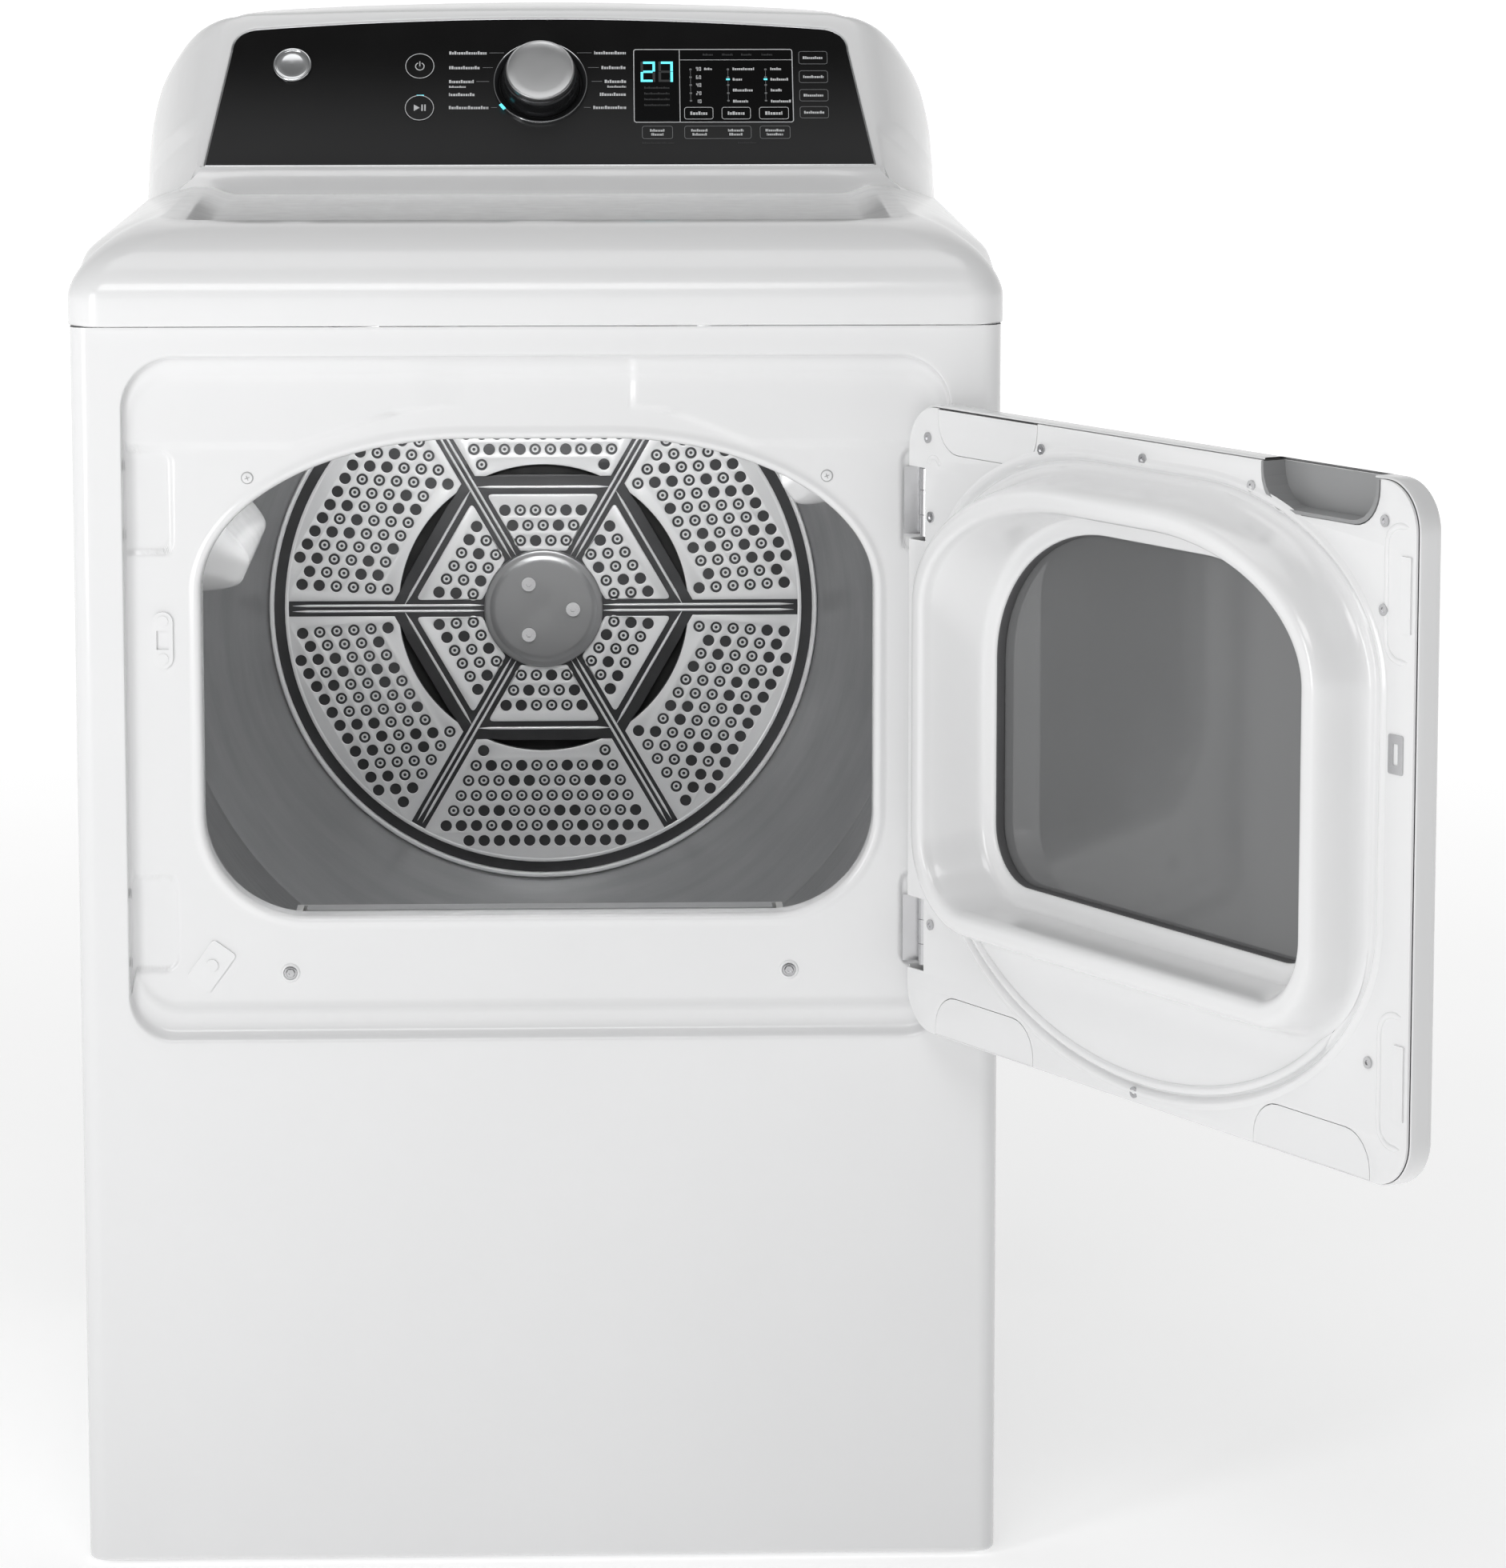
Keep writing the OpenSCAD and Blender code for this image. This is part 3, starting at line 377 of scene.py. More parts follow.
BOX_FACES = [(0, 1, 2, 3), (4, 5, 6, 7), (0, 1, 5, 4), (1, 2, 6, 5), (2, 3, 7, 6), (3, 0, 4, 7)]


def smooth_step(x):
    x = np.clip(x, 0.0, 1.0)
    return x * x * (3 - 2 * x)


def build(name, parts, finish, body, replaces=(), sharp=40):
    """One piece from several (points in mm, faces) parts, joined where their points meet.

    The door's parts are drawn shut, and turned open here.
    """
    points, faces, start = [], [], 0
    for part_points, part_faces in parts:
        points.append(np.asarray(part_points, float))
        faces += [[i + start for i in face] for face in part_faces]
        start += len(part_points)
    points = np.concatenate(points)
    if body == "door":
        points = swing(points)
    data = bpy.data.meshes.new(name)
    data.from_pydata((points * MM).tolist(), [], faces)
    bm = bmesh.new()
    bm.from_mesh(data)
    bmesh.ops.remove_doubles(bm, verts=bm.verts, dist=0.01 * MM)
    bmesh.ops.dissolve_degenerate(bm, edges=bm.edges, dist=0.005 * MM)
    bmesh.ops.recalc_face_normals(bm, faces=bm.faces)
    bm.to_mesh(data)
    bm.free()
    data.polygons.foreach_set("use_smooth", [True] * len(data.polygons))
    data.set_sharp_from_angle(angle=math.radians(sharp))
    data.materials.append(M[finish])
    piece = bpy.data.objects.new(name, data)
    bpy.context.collection.objects.link(piece)
    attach(piece, body)
    if replaces:
        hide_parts(*replaces)
    return piece


def loft(rings, closed=True, fill_first=False, fill_last=False):
    """Faces between neighbouring rings of points, with the first and last ring filled on request."""
    n = len(rings[0])
    span = n if closed else n - 1
    faces = [(i * n + j, i * n + (j + 1) % n, (i + 1) * n + (j + 1) % n, (i + 1) * n + j)
             for i in range(len(rings) - 1) for j in range(span)]
    if fill_first:
        faces.append(tuple(range(n)))
    if fill_last:
        faces.append(tuple(range((len(rings) - 1) * n, len(rings) * n)))
    return np.concatenate(rings), faces


def outline(shape, e=0.0, arc=24, sides=(12, 12, 12, 12)):
    """Points (x, z) of a rounded outline, drawn in by e; sides are the steps on the right, top, left and bottom."""
    hw, low, high, ab, bb, at, bt = shape
    corners = [(hw - ab, low + bb, ab, bb, -90), (hw - at, high - bt, at, bt, 0),
               (at - hw, high - bt, at, bt, 90), (ab - hw, low + bb, ab, bb, 180)]
    arcs = []
    for cx, cz, a, b, start in corners:
        t = np.radians(start + np.linspace(0, 90, arc + 1))
        arcs.append(np.column_stack([cx + (a - e) * np.cos(t), cz + (b - e) * np.sin(t)]))
    points = []
    for k, steps in enumerate(sides):
        begin, end = arcs[k][-1], arcs[(k + 1) % 4][0]
        points += [arcs[k], begin + (end - begin) * np.linspace(0, 1, steps + 1)[1:-1, None]]
    return np.concatenate(points)


def at_y(flat, y):
    return np.column_stack([flat[:, 0], np.broadcast_to(y, len(flat)), flat[:, 1]])


def rings_of(shape, rows, y=0.0, **detail):
    """Rings of one outline: each row says how far it is drawn in, and how far it lies behind Y = y."""
    return [at_y(outline(shape, e, **detail), y + h) for e, h in rows]


def at_z(flat, z):
    return np.column_stack([flat, np.broadcast_to(z, len(flat))])


def turned(a, b, degrees):
    """Two coordinates after a turn in their plane."""
    c, s = math.cos(math.radians(degrees)), math.sin(math.radians(degrees))
    return c * a - s * b, s * a + c * b


def ellipse(cx, cz, rx, rz, n=32, start=0.0, turn=360.0):
    t = np.radians(start + np.linspace(0, turn, n, endpoint=turn < 360))
    return np.column_stack([cx + rx * np.cos(t), cz + rz * np.sin(t)])


def rounded(x0, z0, x1, z1, r, n=6):
    corners = ((x1 - r, z0 + r, -90), (x1 - r, z1 - r, 0), (x0 + r, z1 - r, 90), (x0 + r, z0 + r, 180))
    return np.concatenate([ellipse(cx, cz, r, r, n + 1, a, 90) for cx, cz, a in corners])


def revolve(profile, place, steps=96, start=0.0, turn=360.0):
    """A closed or open turned part from (radius, w) pairs; place puts (u, v, w) points in the row frame."""
    angles = np.radians(start + np.linspace(0, turn, steps, endpoint=turn < 360))
    rings = [place(np.column_stack([r * np.cos(angles), r * np.sin(angles), np.full(len(angles), w)]))
             for r, w in profile]
    return loft(rings, closed=turn >= 360)


# ------------------------------------------------------------------ front panel

SEAM_Z, DECK_Z, FRONT_Y, FLOOR_Y, INNER_Y = 934.0, 1005.0, -350.0, -338.0, -342.0
OPENING = (248, 494, 850, 77, 77, 197, 113)
RECESS_BASE = (300, 424, 899, 34, 34, 34, 34)
RECESS_MOUTH = (304, 403.5, 913, 33, 33, 40, 40)


def rounded_box_distance(x, z, cx, cz, hx, hz, r):
    qx, qz = np.abs(x - cx) - (hx - r), np.abs(z - cz) - (hz - r)
    return np.hypot(np.maximum(qx, 0), np.maximum(qz, 0)) + np.minimum(np.maximum(qx, qz), 0) - r


def pressed_height(x, z):
    """How far the pressing stands out of the recess floor, towards the front."""
    left_step = np.interp(x, [-300, -178, -134, -104, -71, 0], [846, 846, 860, 870, 874, 875])
    right_step = np.interp(x, [60, 71, 92, 122, 158, 300], [873, 874, 872, 861, 846, 846])
    left = smooth_step((z - left_step + 2) / 4) * smooth_step((-50 - x) / 45)
    right = smooth_step((z - right_step + 2) / 4) * smooth_step((x - 68) / 5)
    height = 2.2 * (left + right)
    for low, high in ((454, 524.5), (767, 842)):
        d = rounded_box_distance(np.abs(x), z, 300, (low + high) / 2, 31.5, (high - low) / 2, 9)
        height -= 2.0 * smooth_step((1.1 - d) / 2.2)
    edge = -rounded_box_distance(x, z, 0, 661.5, 300, 237.5, 34)
    height += 1.8 * (1 - np.clip(edge / 8, 0, 1)) ** 2
    return height


def build_front_panel():
    detail = dict(arc=70, sides=(200, 220, 200, 80))
    rim = [(0, -319), (0, -334.6), (-0.4, -336.2), (-1.3, -337.7), (-2.8, -338.8), (-4.4, -339.2), (-6, -338.9),
           (-7.6, -338.3)]
    rings = rings_of(OPENING, rim, **detail)
    inner, outer = outline(OPENING, -9.5, **detail), outline(RECESS_BASE, **detail)
    for t in np.linspace(0, 1, 40):
        flat = inner + (outer - inner) * t
        rings.append(at_y(flat, FLOOR_Y - pressed_height(flat[:, 0], flat[:, 1])))
    mouth = outline(RECESS_MOUTH, **detail)
    top = rings[-1][:, 1]
    for u, rise in ((0.2, 0.01), (0.4, 0.03), (0.58, 0.07), (0.7, 0.12), (0.78, 0.2), (0.84, 0.32), (0.89, 0.47),
                    (0.93, 0.64), (0.97, 0.82), (1.02, 0.94), (1.08, 0.985), (1.16, 1), (1.5, 1)):
        rings.append(at_y(outer + (mouth - outer) * u, top + (FRONT_Y - top) * rise))
    border = outline((326, 8, SEAM_Z, 0.01, 0.01, 0.01, 0.01), **detail)
    rings.append(at_y(border, FRONT_Y))
    parts = [loft(rings)]

    def plan(e):
        t = np.radians(np.linspace(0, 90, 13))
        right = np.column_stack([327 + (14 - e) * np.sin(t), -336 - (14 - e) * np.cos(t)])
        half = np.concatenate([[[326, FRONT_Y + e]], right, [[341 - e, -320]]])
        return half, np.concatenate([half[::-1] * [-1, 1], half])

    half = plan(0)[0]
    for side in (-1, 1):
        parts.append(loft([at_z(half * [side, 1], z) for z in (8.0, 300.0, 620.0, SEAM_Z)], closed=False))
    skirt = [(0, 8), (0, 7), (0.5, 5.4), (1.6, 4.2), (3.2, 3.7), (14, 3.7)]
    parts.append(loft([at_z(plan(e)[1], z) for e, z in skirt], closed=False))
    build("front_panel_pressing", parts, "enamel", "cabinet", ["front_panel"], sharp=60)


# ------------------------------------------------------------------ top cover


def u_path(hw, front, r, back=350.0, side=26, arc=26, across=40):
    """From the left back corner round the front to the right back corner, in plan."""
    t = np.radians(np.linspace(0, 90, arc + 1))
    sides = np.column_stack([np.full(side, hw), back + (front + r - back) * np.linspace(0, 1, side, endpoint=False)])
    corner = np.column_stack([hw - r + r * np.cos(t), front + r - r * np.sin(t)])
    middle = np.column_stack([(hw - r) * np.linspace(1, -1, across + 1)[1:-1], np.full(across - 1, front)])
    half = np.concatenate([sides, corner])
    return np.concatenate([half, middle, half[::-1] * [-1, 1]])


TRAY, TRAY_DEPTH = (274, 247), 6.4          # half widths of the deck's tray at its brim and floor


def cover_z(x):
    """Height of the cover under the console, which hides its join."""
    x = np.abs(x)
    inward = np.clip((343 - x) / 60, 0, 1)
    bevel = 976 + 29 * (1 - (1 - inward) ** 1.32) ** (1 / 1.32)
    return bevel - TRAY_DEPTH * smooth_step((TRAY[0] - x) / (TRAY[0] - TRAY[1]))


def build_top_cover():
    rim, deck = u_path(343, -354, 26), u_path(283, -253, 62)
    rim_z = 955 + 21 * smooth_step((rim[:, 1] + 326) / 170)
    facing_front = smooth_step((-300 - rim[:, 1]) / 54)
    power = 1.32 + 0.62 * facing_front
    rings = [at_z(u_path(343 - e, -354 + e, 26 - e), z) for e, z in
             ((10, 935.2), (2, 934.7), (0.9, 934.9), (0.2, 935.6), (0, 936.6))]
    rings.append(at_z(rim, np.minimum(rim_z, 951)))
    for phi in np.radians(np.linspace(0, 90, 26)):
        inward = 1 - np.cos(phi) ** (2 / power)
        up = np.sin(phi) ** (2 / power)
        rings.append(at_z(rim + (deck - rim) * inward[:, None], rim_z + (DECK_Z - rim_z) * up))
    edge, floor_edge = u_path(TRAY[0], -244, 24), u_path(TRAY[1], -233, 16)
    rings.append(at_z(deck + (edge - deck) * 0.5, DECK_Z))
    for t in np.linspace(0, 1, 14):
        rings.append(at_z(edge + (floor_edge - edge) * t, DECK_Z - TRAY_DEPTH * smooth_step(t)))
    points, faces = loft(rings, closed=False)
    n = len(rings[0])
    faces.append(tuple(range((len(rings) - 1) * n, len(rings) * n)))
    first = [i * n for i in range(len(rings))]
    faces.append((*first, *(i + n - 1 for i in reversed(first))))
    build("top_cover_pressing", [(points, faces)], "white_plastic", "cabinet", ["top_cover"],
          sharp=60)


# ------------------------------------------------------------------ console

FACE_Y, FACE_Z, FACE_TILT = 155.0, 1021.6, math.radians(57)
BACK_Y = 344.0                              # the console's rear


def on_face(points):
    """(u, v, w) on the console's face: u right, v up the slope, w out of it."""
    points = np.asarray(points, float)
    u, v, w = points[:, 0], points[:, 1], points[:, 2]
    c, s = math.cos(FACE_TILT), math.sin(FACE_TILT)
    return np.column_stack([u, FACE_Y + v * c - w * s, FACE_Z + v * s + w * c])


def spline(points, n):
    """n points evenly spread along a smooth curve through the given ones."""
    points = np.asarray(points, float)
    padded = np.vstack([2 * points[0] - points[1], points, 2 * points[-1] - points[-2]])
    dense = []
    for a, b, c, d in zip(padded, padded[1:], padded[2:], padded[3:]):
        t = np.linspace(0, 1, 24, endpoint=False)[:, None]
        square, cube = 2 * a - 5 * b + 4 * c - d, 3 * b - a - 3 * c + d
        dense.append(0.5 * (2 * b + (c - a) * t + square * t**2 + cube * t**3))
    dense = np.vstack(dense + [points[-1:]])
    run = np.concatenate([[0], np.cumsum(np.linalg.norm(np.diff(dense, axis=0), axis=1))])
    even = np.linspace(0, run[-1], n)
    return np.column_stack([np.interp(even, run, dense[:, k]) for k in range(points.shape[1])])


BASE_STEPS, SIDE_STEPS, CORNER_STEPS, TOP_STEPS, BOTTOM_STEPS = 12, 18, 16, 22, 30


def mirrored(half):
    """A closed loop from its right half, given from bottom centre to top centre."""
    return np.concatenate([half, half[-2:0:-1] * np.array([-1] + [1] * (half.shape[1] - 1))])


def face_ring(bottom_hw, bottom_v, corner_u, corner_v, ru, rv, top_v, e=0.0, low_r=5.0):
    """A closed loop of (u, v): flat bottom, leaning sides, rounded top corners and an arched top."""
    t = np.radians(np.linspace(-90, 0, BASE_STEPS + 1))
    foot = np.column_stack([bottom_hw - low_r + (low_r - e) * np.cos(t), bottom_v + low_r + (low_r - e) * np.sin(t)])
    bottom = np.column_stack([foot[0, 0] * np.linspace(0, 1, BOTTOM_STEPS, endpoint=False),
                              np.full(BOTTOM_STEPS, foot[0, 1])])
    a = np.radians(np.linspace(0, 82, CORNER_STEPS + 1))
    corner = np.column_stack([corner_u + (ru - e) * np.cos(a), corner_v + (rv - e) * np.sin(a)])
    side = foot[-1] + (corner[0] - foot[-1]) * np.linspace(0, 1, SIDE_STEPS + 1)[1:-1, None]
    u = corner[-1, 0] * np.linspace(1, 0, TOP_STEPS + 1)[1:]
    top = np.column_stack([u, corner[-1, 1] + (top_v - e - corner[-1, 1]) * (1 - (u / corner[-1, 0]) ** 2)])
    return mirrored(np.concatenate([bottom, foot, side, corner, top]))


def fascia_ring(e):
    return face_ring(276, 0, 233, 110, 23, 21, 141, e, low_r=1.0)


def face_flat(flat, w):
    return on_face(at_z(flat, w))


def build_console():
    rings = [face_flat(fascia_ring(-0.3), -9), face_flat(fascia_ring(-0.3), -1.3),
             face_flat(fascia_ring(-0.7), -0.5), face_flat(fascia_ring(-1.5), -0.1)]
    flat = face_ring(286, -5, 240, 122, 28, 26, 152.5, 5.0, low_r=7.0)
    rings.append(face_flat(fascia_ring(-2.6), 0))
    rings.append(face_flat(flat, 0))
    start = rings[-1]
    rear = spline([[337, 980], [335, 1010], [332.3, 1040], [325, 1072], [316, 1091], [302, 1110], [281, 1127],
                   [257, 1138], [236, 1142.5], [180, 1146], [120, 1148], [60, 1149.4], [0, 1150]], 400)
    picks = np.concatenate([np.linspace(0, 0.2, SIDE_STEPS + 1)[1:-1], np.linspace(0.2, 0.48, CORNER_STEPS + 1),
                            np.linspace(0.48, 1, TOP_STEPS + 1)[1:]])
    upper = rear[np.round(picks * 399).astype(int)]
    upper = np.column_stack([upper[:, 0], np.full(len(upper), BACK_Y), upper[:, 1]])
    foot = spline([[299, 148.5], [305, 156], [319, 200], [331, 250], [336.5, 300], [337, BACK_Y]], BASE_STEPS + 1)
    across = 299 * np.linspace(0, 1, BOTTOM_STEPS, endpoint=False)
    foot = at_z(foot, cover_z(foot[:, 0]) - 1.5)
    bottom = np.column_stack([across, np.full(BOTTOM_STEPS, 148.5), cover_z(across) - 1.5])
    end = mirrored(np.concatenate([bottom, foot, upper]))
    ahead = np.roll(flat, -1, 0) - np.roll(flat, 1, 0)
    normal = np.column_stack([ahead[:, 1], -ahead[:, 0]]) / np.linalg.norm(ahead, axis=1)[:, None]
    away = on_face(np.column_stack([flat + normal, np.zeros(len(flat))])) - start
    lateral = np.linalg.norm((end - start)[:, [0, 2]], axis=1)
    reach = np.clip(0.5 * lateral, 5.5, 26)[:, None]
    low = end[:, 2] < 1010
    reach[low] = np.minimum(reach[low], 8)
    on_back = end[:, 1] > BACK_Y - 0.1
    depth = (end[:, 1] - start[:, 1])[:, None]
    near_end = np.where(on_back[:, None], end - 0.55 * depth * np.array([0, 1, 0]), start + (end - start) * 0.62)
    # The lower side edges go down into the cover, so that the walls rise straight out of it.
    column = np.arange(len(flat))
    column = np.minimum(column, len(flat) - column)
    rooted = np.clip((column - BOTTOM_STEPS) / 5, 0, 1) * (column <= BOTTOM_STEPS + BASE_STEPS)
    for s in np.linspace(0, 1, 30)[1:]:
        ring = ((1 - s) ** 3 * start + 3 * (1 - s) ** 2 * s * (start + reach * away)
                + 3 * (1 - s) * s * s * near_end + s**3 * end)
        ring[:, 2] -= np.maximum(ring[:, 2] - cover_z(ring[:, 0]) + 2, 0) * rooted * smooth_step(s / 0.3)
        rings.append(ring)
    points, faces = loft(rings)
    back = [i for i, p in enumerate(points) if i >= (len(rings) - 1) * len(flat) and p[1] > BACK_Y - 0.1]
    faces.append(tuple(back))
    build("console_moulding", [(points, faces)], "console_plastic", "cabinet",
          ["console_shell"], sharp=50)
    trim = [face_flat(fascia_ring(e), w) for e, w in ((0.1, -0.62), (0.05, -0.25), (0.45, -0.1), (0.9, -0.25),
                                                      (0.95, -0.62))]
    build("fascia_trim", [loft(trim + trim[:1])], "chrome", "cabinet")


# ------------------------------------------------------------------ door, drawn shut and turned open

DOOR_LINE = (295, 410, 878, 34, 34, 34, 34)
SEAL_LINE = (257, 424, 856, 257, 161, 197, 117)
WINDOW = (192, 538, 804, 42, 42, 135, 104)
HINGE_HEIGHTS, HINGE_GAP = (483, 804), 27
HINGE_X, HINGE_Y = (c / MM for c in joints["door_swing"]["pos_m"][:2])
DOOR_OPEN = 120.0


def swing(points):
    x, y = turned(points[:, 0] - HINGE_X, points[:, 1] - HINGE_Y, DOOR_OPEN)
    return np.column_stack([HINGE_X + x, HINGE_Y + y, points[:, 2]])


def plate(outlines, thick, edge):
    """A flat part (a, b, c) of closed outlines, the first outside and the rest holes, with rounded edges."""
    curve = bpy.data.curves.new("plate", "CURVE")
    curve.dimensions, curve.fill_mode = "2D", "BOTH"
    curve.extrude, curve.bevel_depth, curve.offset = thick / 2 - edge, edge, -edge
    curve.bevel_resolution = 2
    for shape in outlines:
        line = curve.splines.new("POLY")
        line.points.add(len(shape) - 1)
        line.points.foreach_set("co", np.column_stack([at_z(shape, 0), np.ones(len(shape))]).ravel())
        line.use_cyclic_u = True
    drawn = bpy.data.objects.new("plate", curve)
    bpy.context.collection.objects.link(drawn)
    solid = bpy.data.meshes.new_from_object(drawn.evaluated_get(bpy.context.evaluated_depsgraph_get()))
    points = np.array([v.co for v in solid.vertices])
    faces = [list(p.vertices) for p in solid.polygons]
    bpy.data.objects.remove(drawn)
    bpy.data.meshes.remove(solid)
    bpy.data.curves.remove(curve)
    points[:, 2] += thick / 2
    return points, faces


def facing_back(part, y):
    """A flat part laid on the plane Y = y, its thickness towards the back."""
    points, faces = part
    return np.column_stack([points[:, 0], y + points[:, 2], points[:, 1]]), faces


def bead(path, r, closed=False, flat=0.6):
    """A half-round rib along a path (a, b), standing up in c."""
    path = np.asarray(path, float)
    ahead = np.roll(path, -1, 0) - np.roll(path, 1, 0)
    if not closed:
        ahead[0], ahead[-1] = path[1] - path[0], path[-1] - path[-2]
    side = np.column_stack([-ahead[:, 1], ahead[:, 0]]) / np.linalg.norm(ahead, axis=1)[:, None]
    taper = np.ones(len(path))
    if not closed:
        taper = np.minimum(1, np.minimum(np.arange(len(path)), np.arange(len(path))[::-1]) / 3 + 0.05)
    rings = []
    for a in np.radians(np.linspace(0, 180, 9)):
        offset = side * (r * math.cos(a) * taper)[:, None]
        rings.append(np.column_stack([path + offset, r * flat * math.sin(a) * taper]))
    return loft(rings, closed=closed)


def notch_edge(points):
    """The door's outline with the gaps for its hinges cut into the hinge side."""
    out = []
    for p, q in zip(points, np.roll(points, -1, 0)):
        out.append(p)
        for height in HINGE_HEIGHTS:
            low, high = height - HINGE_GAP, height + HINGE_GAP
            if p[0] > 290 and q[0] > 290 and p[1] <= low < q[1]:
                out += [(p[0], low), (272, low), (272, high), (p[0], high)]
    return np.array([p for i, p in enumerate(out) if not (
        p[0] > 290 and any(abs(p[1] - h) < HINGE_GAP - 0.01 for h in HINGE_HEIGHTS))])


POCKETS, POCKET_WIDE = (-256, 130), 126     # left ends of the rim's open recesses, and their width


def pocket_line(x0, top):
    """One open-ended recess in the rim, from its right lip round to its left lip."""
    r = 26
    line = np.concatenate([ellipse(x0 + POCKET_WIDE - r, r, r, r, 9, 0, -90), ellipse(x0 + r, r, r, r, 9, -90, -90)])
    if top:
        return line + [0, 844]
    return (line * [1, -1] + [0, 443])[::-1]


def rim_outline():
    """The rim's outline with its hinge gaps and its four open recesses."""
    e, near_zero = 1.5, 0.01
    ring = notch_edge(outline(DOOR_LINE, e, arc=16, sides=(40, 60, 30, 60)))
    top, bottom = DOOR_LINE[2] - e, DOOR_LINE[1] + e
    out = []
    for p, q in zip(ring, np.roll(ring, -1, 0)):
        on_top, on_bottom = abs(p[1] - top) < near_zero, abs(p[1] - bottom) < near_zero
        if (on_top or on_bottom) and any(x0 < p[0] < x0 + POCKET_WIDE for x0 in POCKETS):
            continue
        out.append(p)
        for x0 in POCKETS[::-1] if on_top else POCKETS:
            x1 = x0 + POCKET_WIDE
            if on_top and abs(q[1] - top) < near_zero and p[0] >= x1 > q[0]:
                out += [(x1, top), *pocket_line(x0, True), (x0, top)]
            if on_bottom and abs(q[1] - bottom) < near_zero and p[0] <= x0 < q[0]:
                out += [(x0, bottom), *pocket_line(x0, False), (x1, bottom)]
    return np.array(out)


def build_door():
    detail = dict(arc=40, sides=(60, 60, 60, 60))
    seal = [(-9, 0.03), (-7.8, 0.25), (-6.6, 1.1), (-5, 1.6), (-3.4, 1.2), (-2.4, 0.3), (-1.6, -0.8), (-0.8, -1.9),
            (0, -2.3), (0.8, -1.9), (1.6, -0.6), (2.6, 0.02), (4, 0.06)]
    rings = rings_of(SEAL_LINE, seal, INNER_Y, **detail)
    last = outline(SEAL_LINE, 4, **detail)
    foot = outline(OPENING, -3.0, **detail)
    rings.append(at_y(last + (foot - last) * 0.5, INNER_Y + 0.1))
    bowl = [(-3, 0.2), (-1, 0.9), (1, 2.6), (2.8, 6), (4.2, 11), (5.4, 17), (6.6, 23), (8.2, 28.5), (10, 32.8),
            (12, 35.3), (14.2, 36.6), (16.6, 37), (21.4, 37), (24, 36.7), (25.9, 35.6), (27.1, 33.7), (28, 31)]
    rings += rings_of(OPENING, bowl, INNER_Y, **detail)
    crest, lip = outline(OPENING, 28, **detail), outline(WINDOW, -13, **detail)
    for t in np.linspace(0, 1, 15)[1:]:
        rings.append(at_y(crest + (lip - crest) * t, INNER_Y + 31 - 34 * (t ** 1.15) - 1.2 * math.sin(math.pi * t)))
    lip_profile = [(-12, -4.2), (-10.6, -5.4), (-8.6, -6.2), (-4, -6.8), (-1.6, -7.2), (-0.5, -7.8), (0.1, -8.8),
                   (0.2, -10)]
    rings += rings_of(WINDOW, lip_profile, INNER_Y, **detail)
    rim = facing_back(plate([rim_outline(), outline(SEAL_LINE, -6, arc=40, sides=(10, 10, 10, 10))], 2.2, 0.5),
                      INNER_Y - 2.2)
    parts = [rim, loft(rings)]
    for height in HINGE_HEIGHTS:
        clip = spline([[-287, height - 44], [-276, height - 44], [-268, height - 40], [-264, height - 31],
                       [-264, height], [-264, height + 31], [-268, height + 40], [-276, height + 44],
                       [-287, height + 44]], 60)
        parts.append(facing_back(bead(clip, 2.2, flat=0.45), INNER_Y - 0.05))
        brow = rounded(254, height - 36, 268, height + 36, 6)
        parts.append(facing_back(bead(spline(brow[7:][:-7], 40), 1.8, flat=0.4), INNER_Y - 0.05))
    build("door_liner", parts, "white_plastic", "door", ["door_inner_panel"], sharp=50)

    side = dict(arc=16, sides=(60, 40, 40, 40))
    around = [(-6, -362.7), (-6, -363.6), (-6.6, -364), (-12, -364)]
    across = [(9, -364), (5.4, -363.9), (3.4, -363.5), (1.8, -362.7), (0.7, -361.4), (0.1, -359.6), (0, -357.5),
              (0, -350), (0, -345.3), (0.25, -344.7), (0.8, -344.4), (1.3, -344.6), (1.4, -345.4), (1.6, -359),
              (4, -362), (12, -362.7)]
    points, faces = loft(rings_of(WINDOW, around, **side) + rings_of(DOOR_LINE, across, **side)
                         + rings_of(WINDOW, [(-9, -362.7)], **side))

    def in_gap(face):
        c = points[list(face)].mean(0)
        hinge = c[0] > 272 and c[1] > -362.6 and any(abs(c[2] - h) < HINGE_GAP for h in HINGE_HEIGHTS)
        grip = c[2] > 873.5 and -254.4 < c[0] < -131.6 and c[1] > -359.5
        return hinge or grip
    faces = [f for f in faces if not in_gap(f)]
    build("door_skin", [(points, faces)], "enamel", "door", ["door_outer_panel"], sharp=60)
    gasket = [(-8, -358.4), (-8, -351.4), (-1, -351), (0.6, -351.4), (1, -352.4), (1, -357.6), (0.2, -358.4)]
    rings = rings_of(WINDOW, gasket, arc=40, sides=(20, 20, 20, 20))
    build("glass_gasket", [loft(rings + rings[:1])], "gasket_rubber", "door", ["window_gasket"])
    band = outline(SEAL_LINE, 5.0, arc=60, sides=(10, 10, 10, 10))
    band = np.concatenate([band[-80:], band[:80]])
    band = band[band[:, 1] < 505]
    band = band[np.argsort(band[:, 0])]
    build("door_crescent_seal", [facing_back(bead(band, 3.4, flat=0.8), INNER_Y + 0.02)], "white_plastic", "door",
          ["door_seal"])


# ------------------------------------------------------------------ drum

DRUM_Z, REAR_Y = 640.0, 250.0
HOLE_R, HOLE_PITCH, ROW_STEP, FIRST_ROW = 4.9, 12.95, 13.0, 122.8
WALL_R, PLATE_R = 304.0, 218.5             # radii of the drum's wall and of the perforated plates
GAP_R, GAP_FLOOR = 123, 113                # the gap round the spider, dark with painted shade: its arc, and its straight side
SPOKE = 6.6                                # half width of the channels between the plates, dark with painted shade
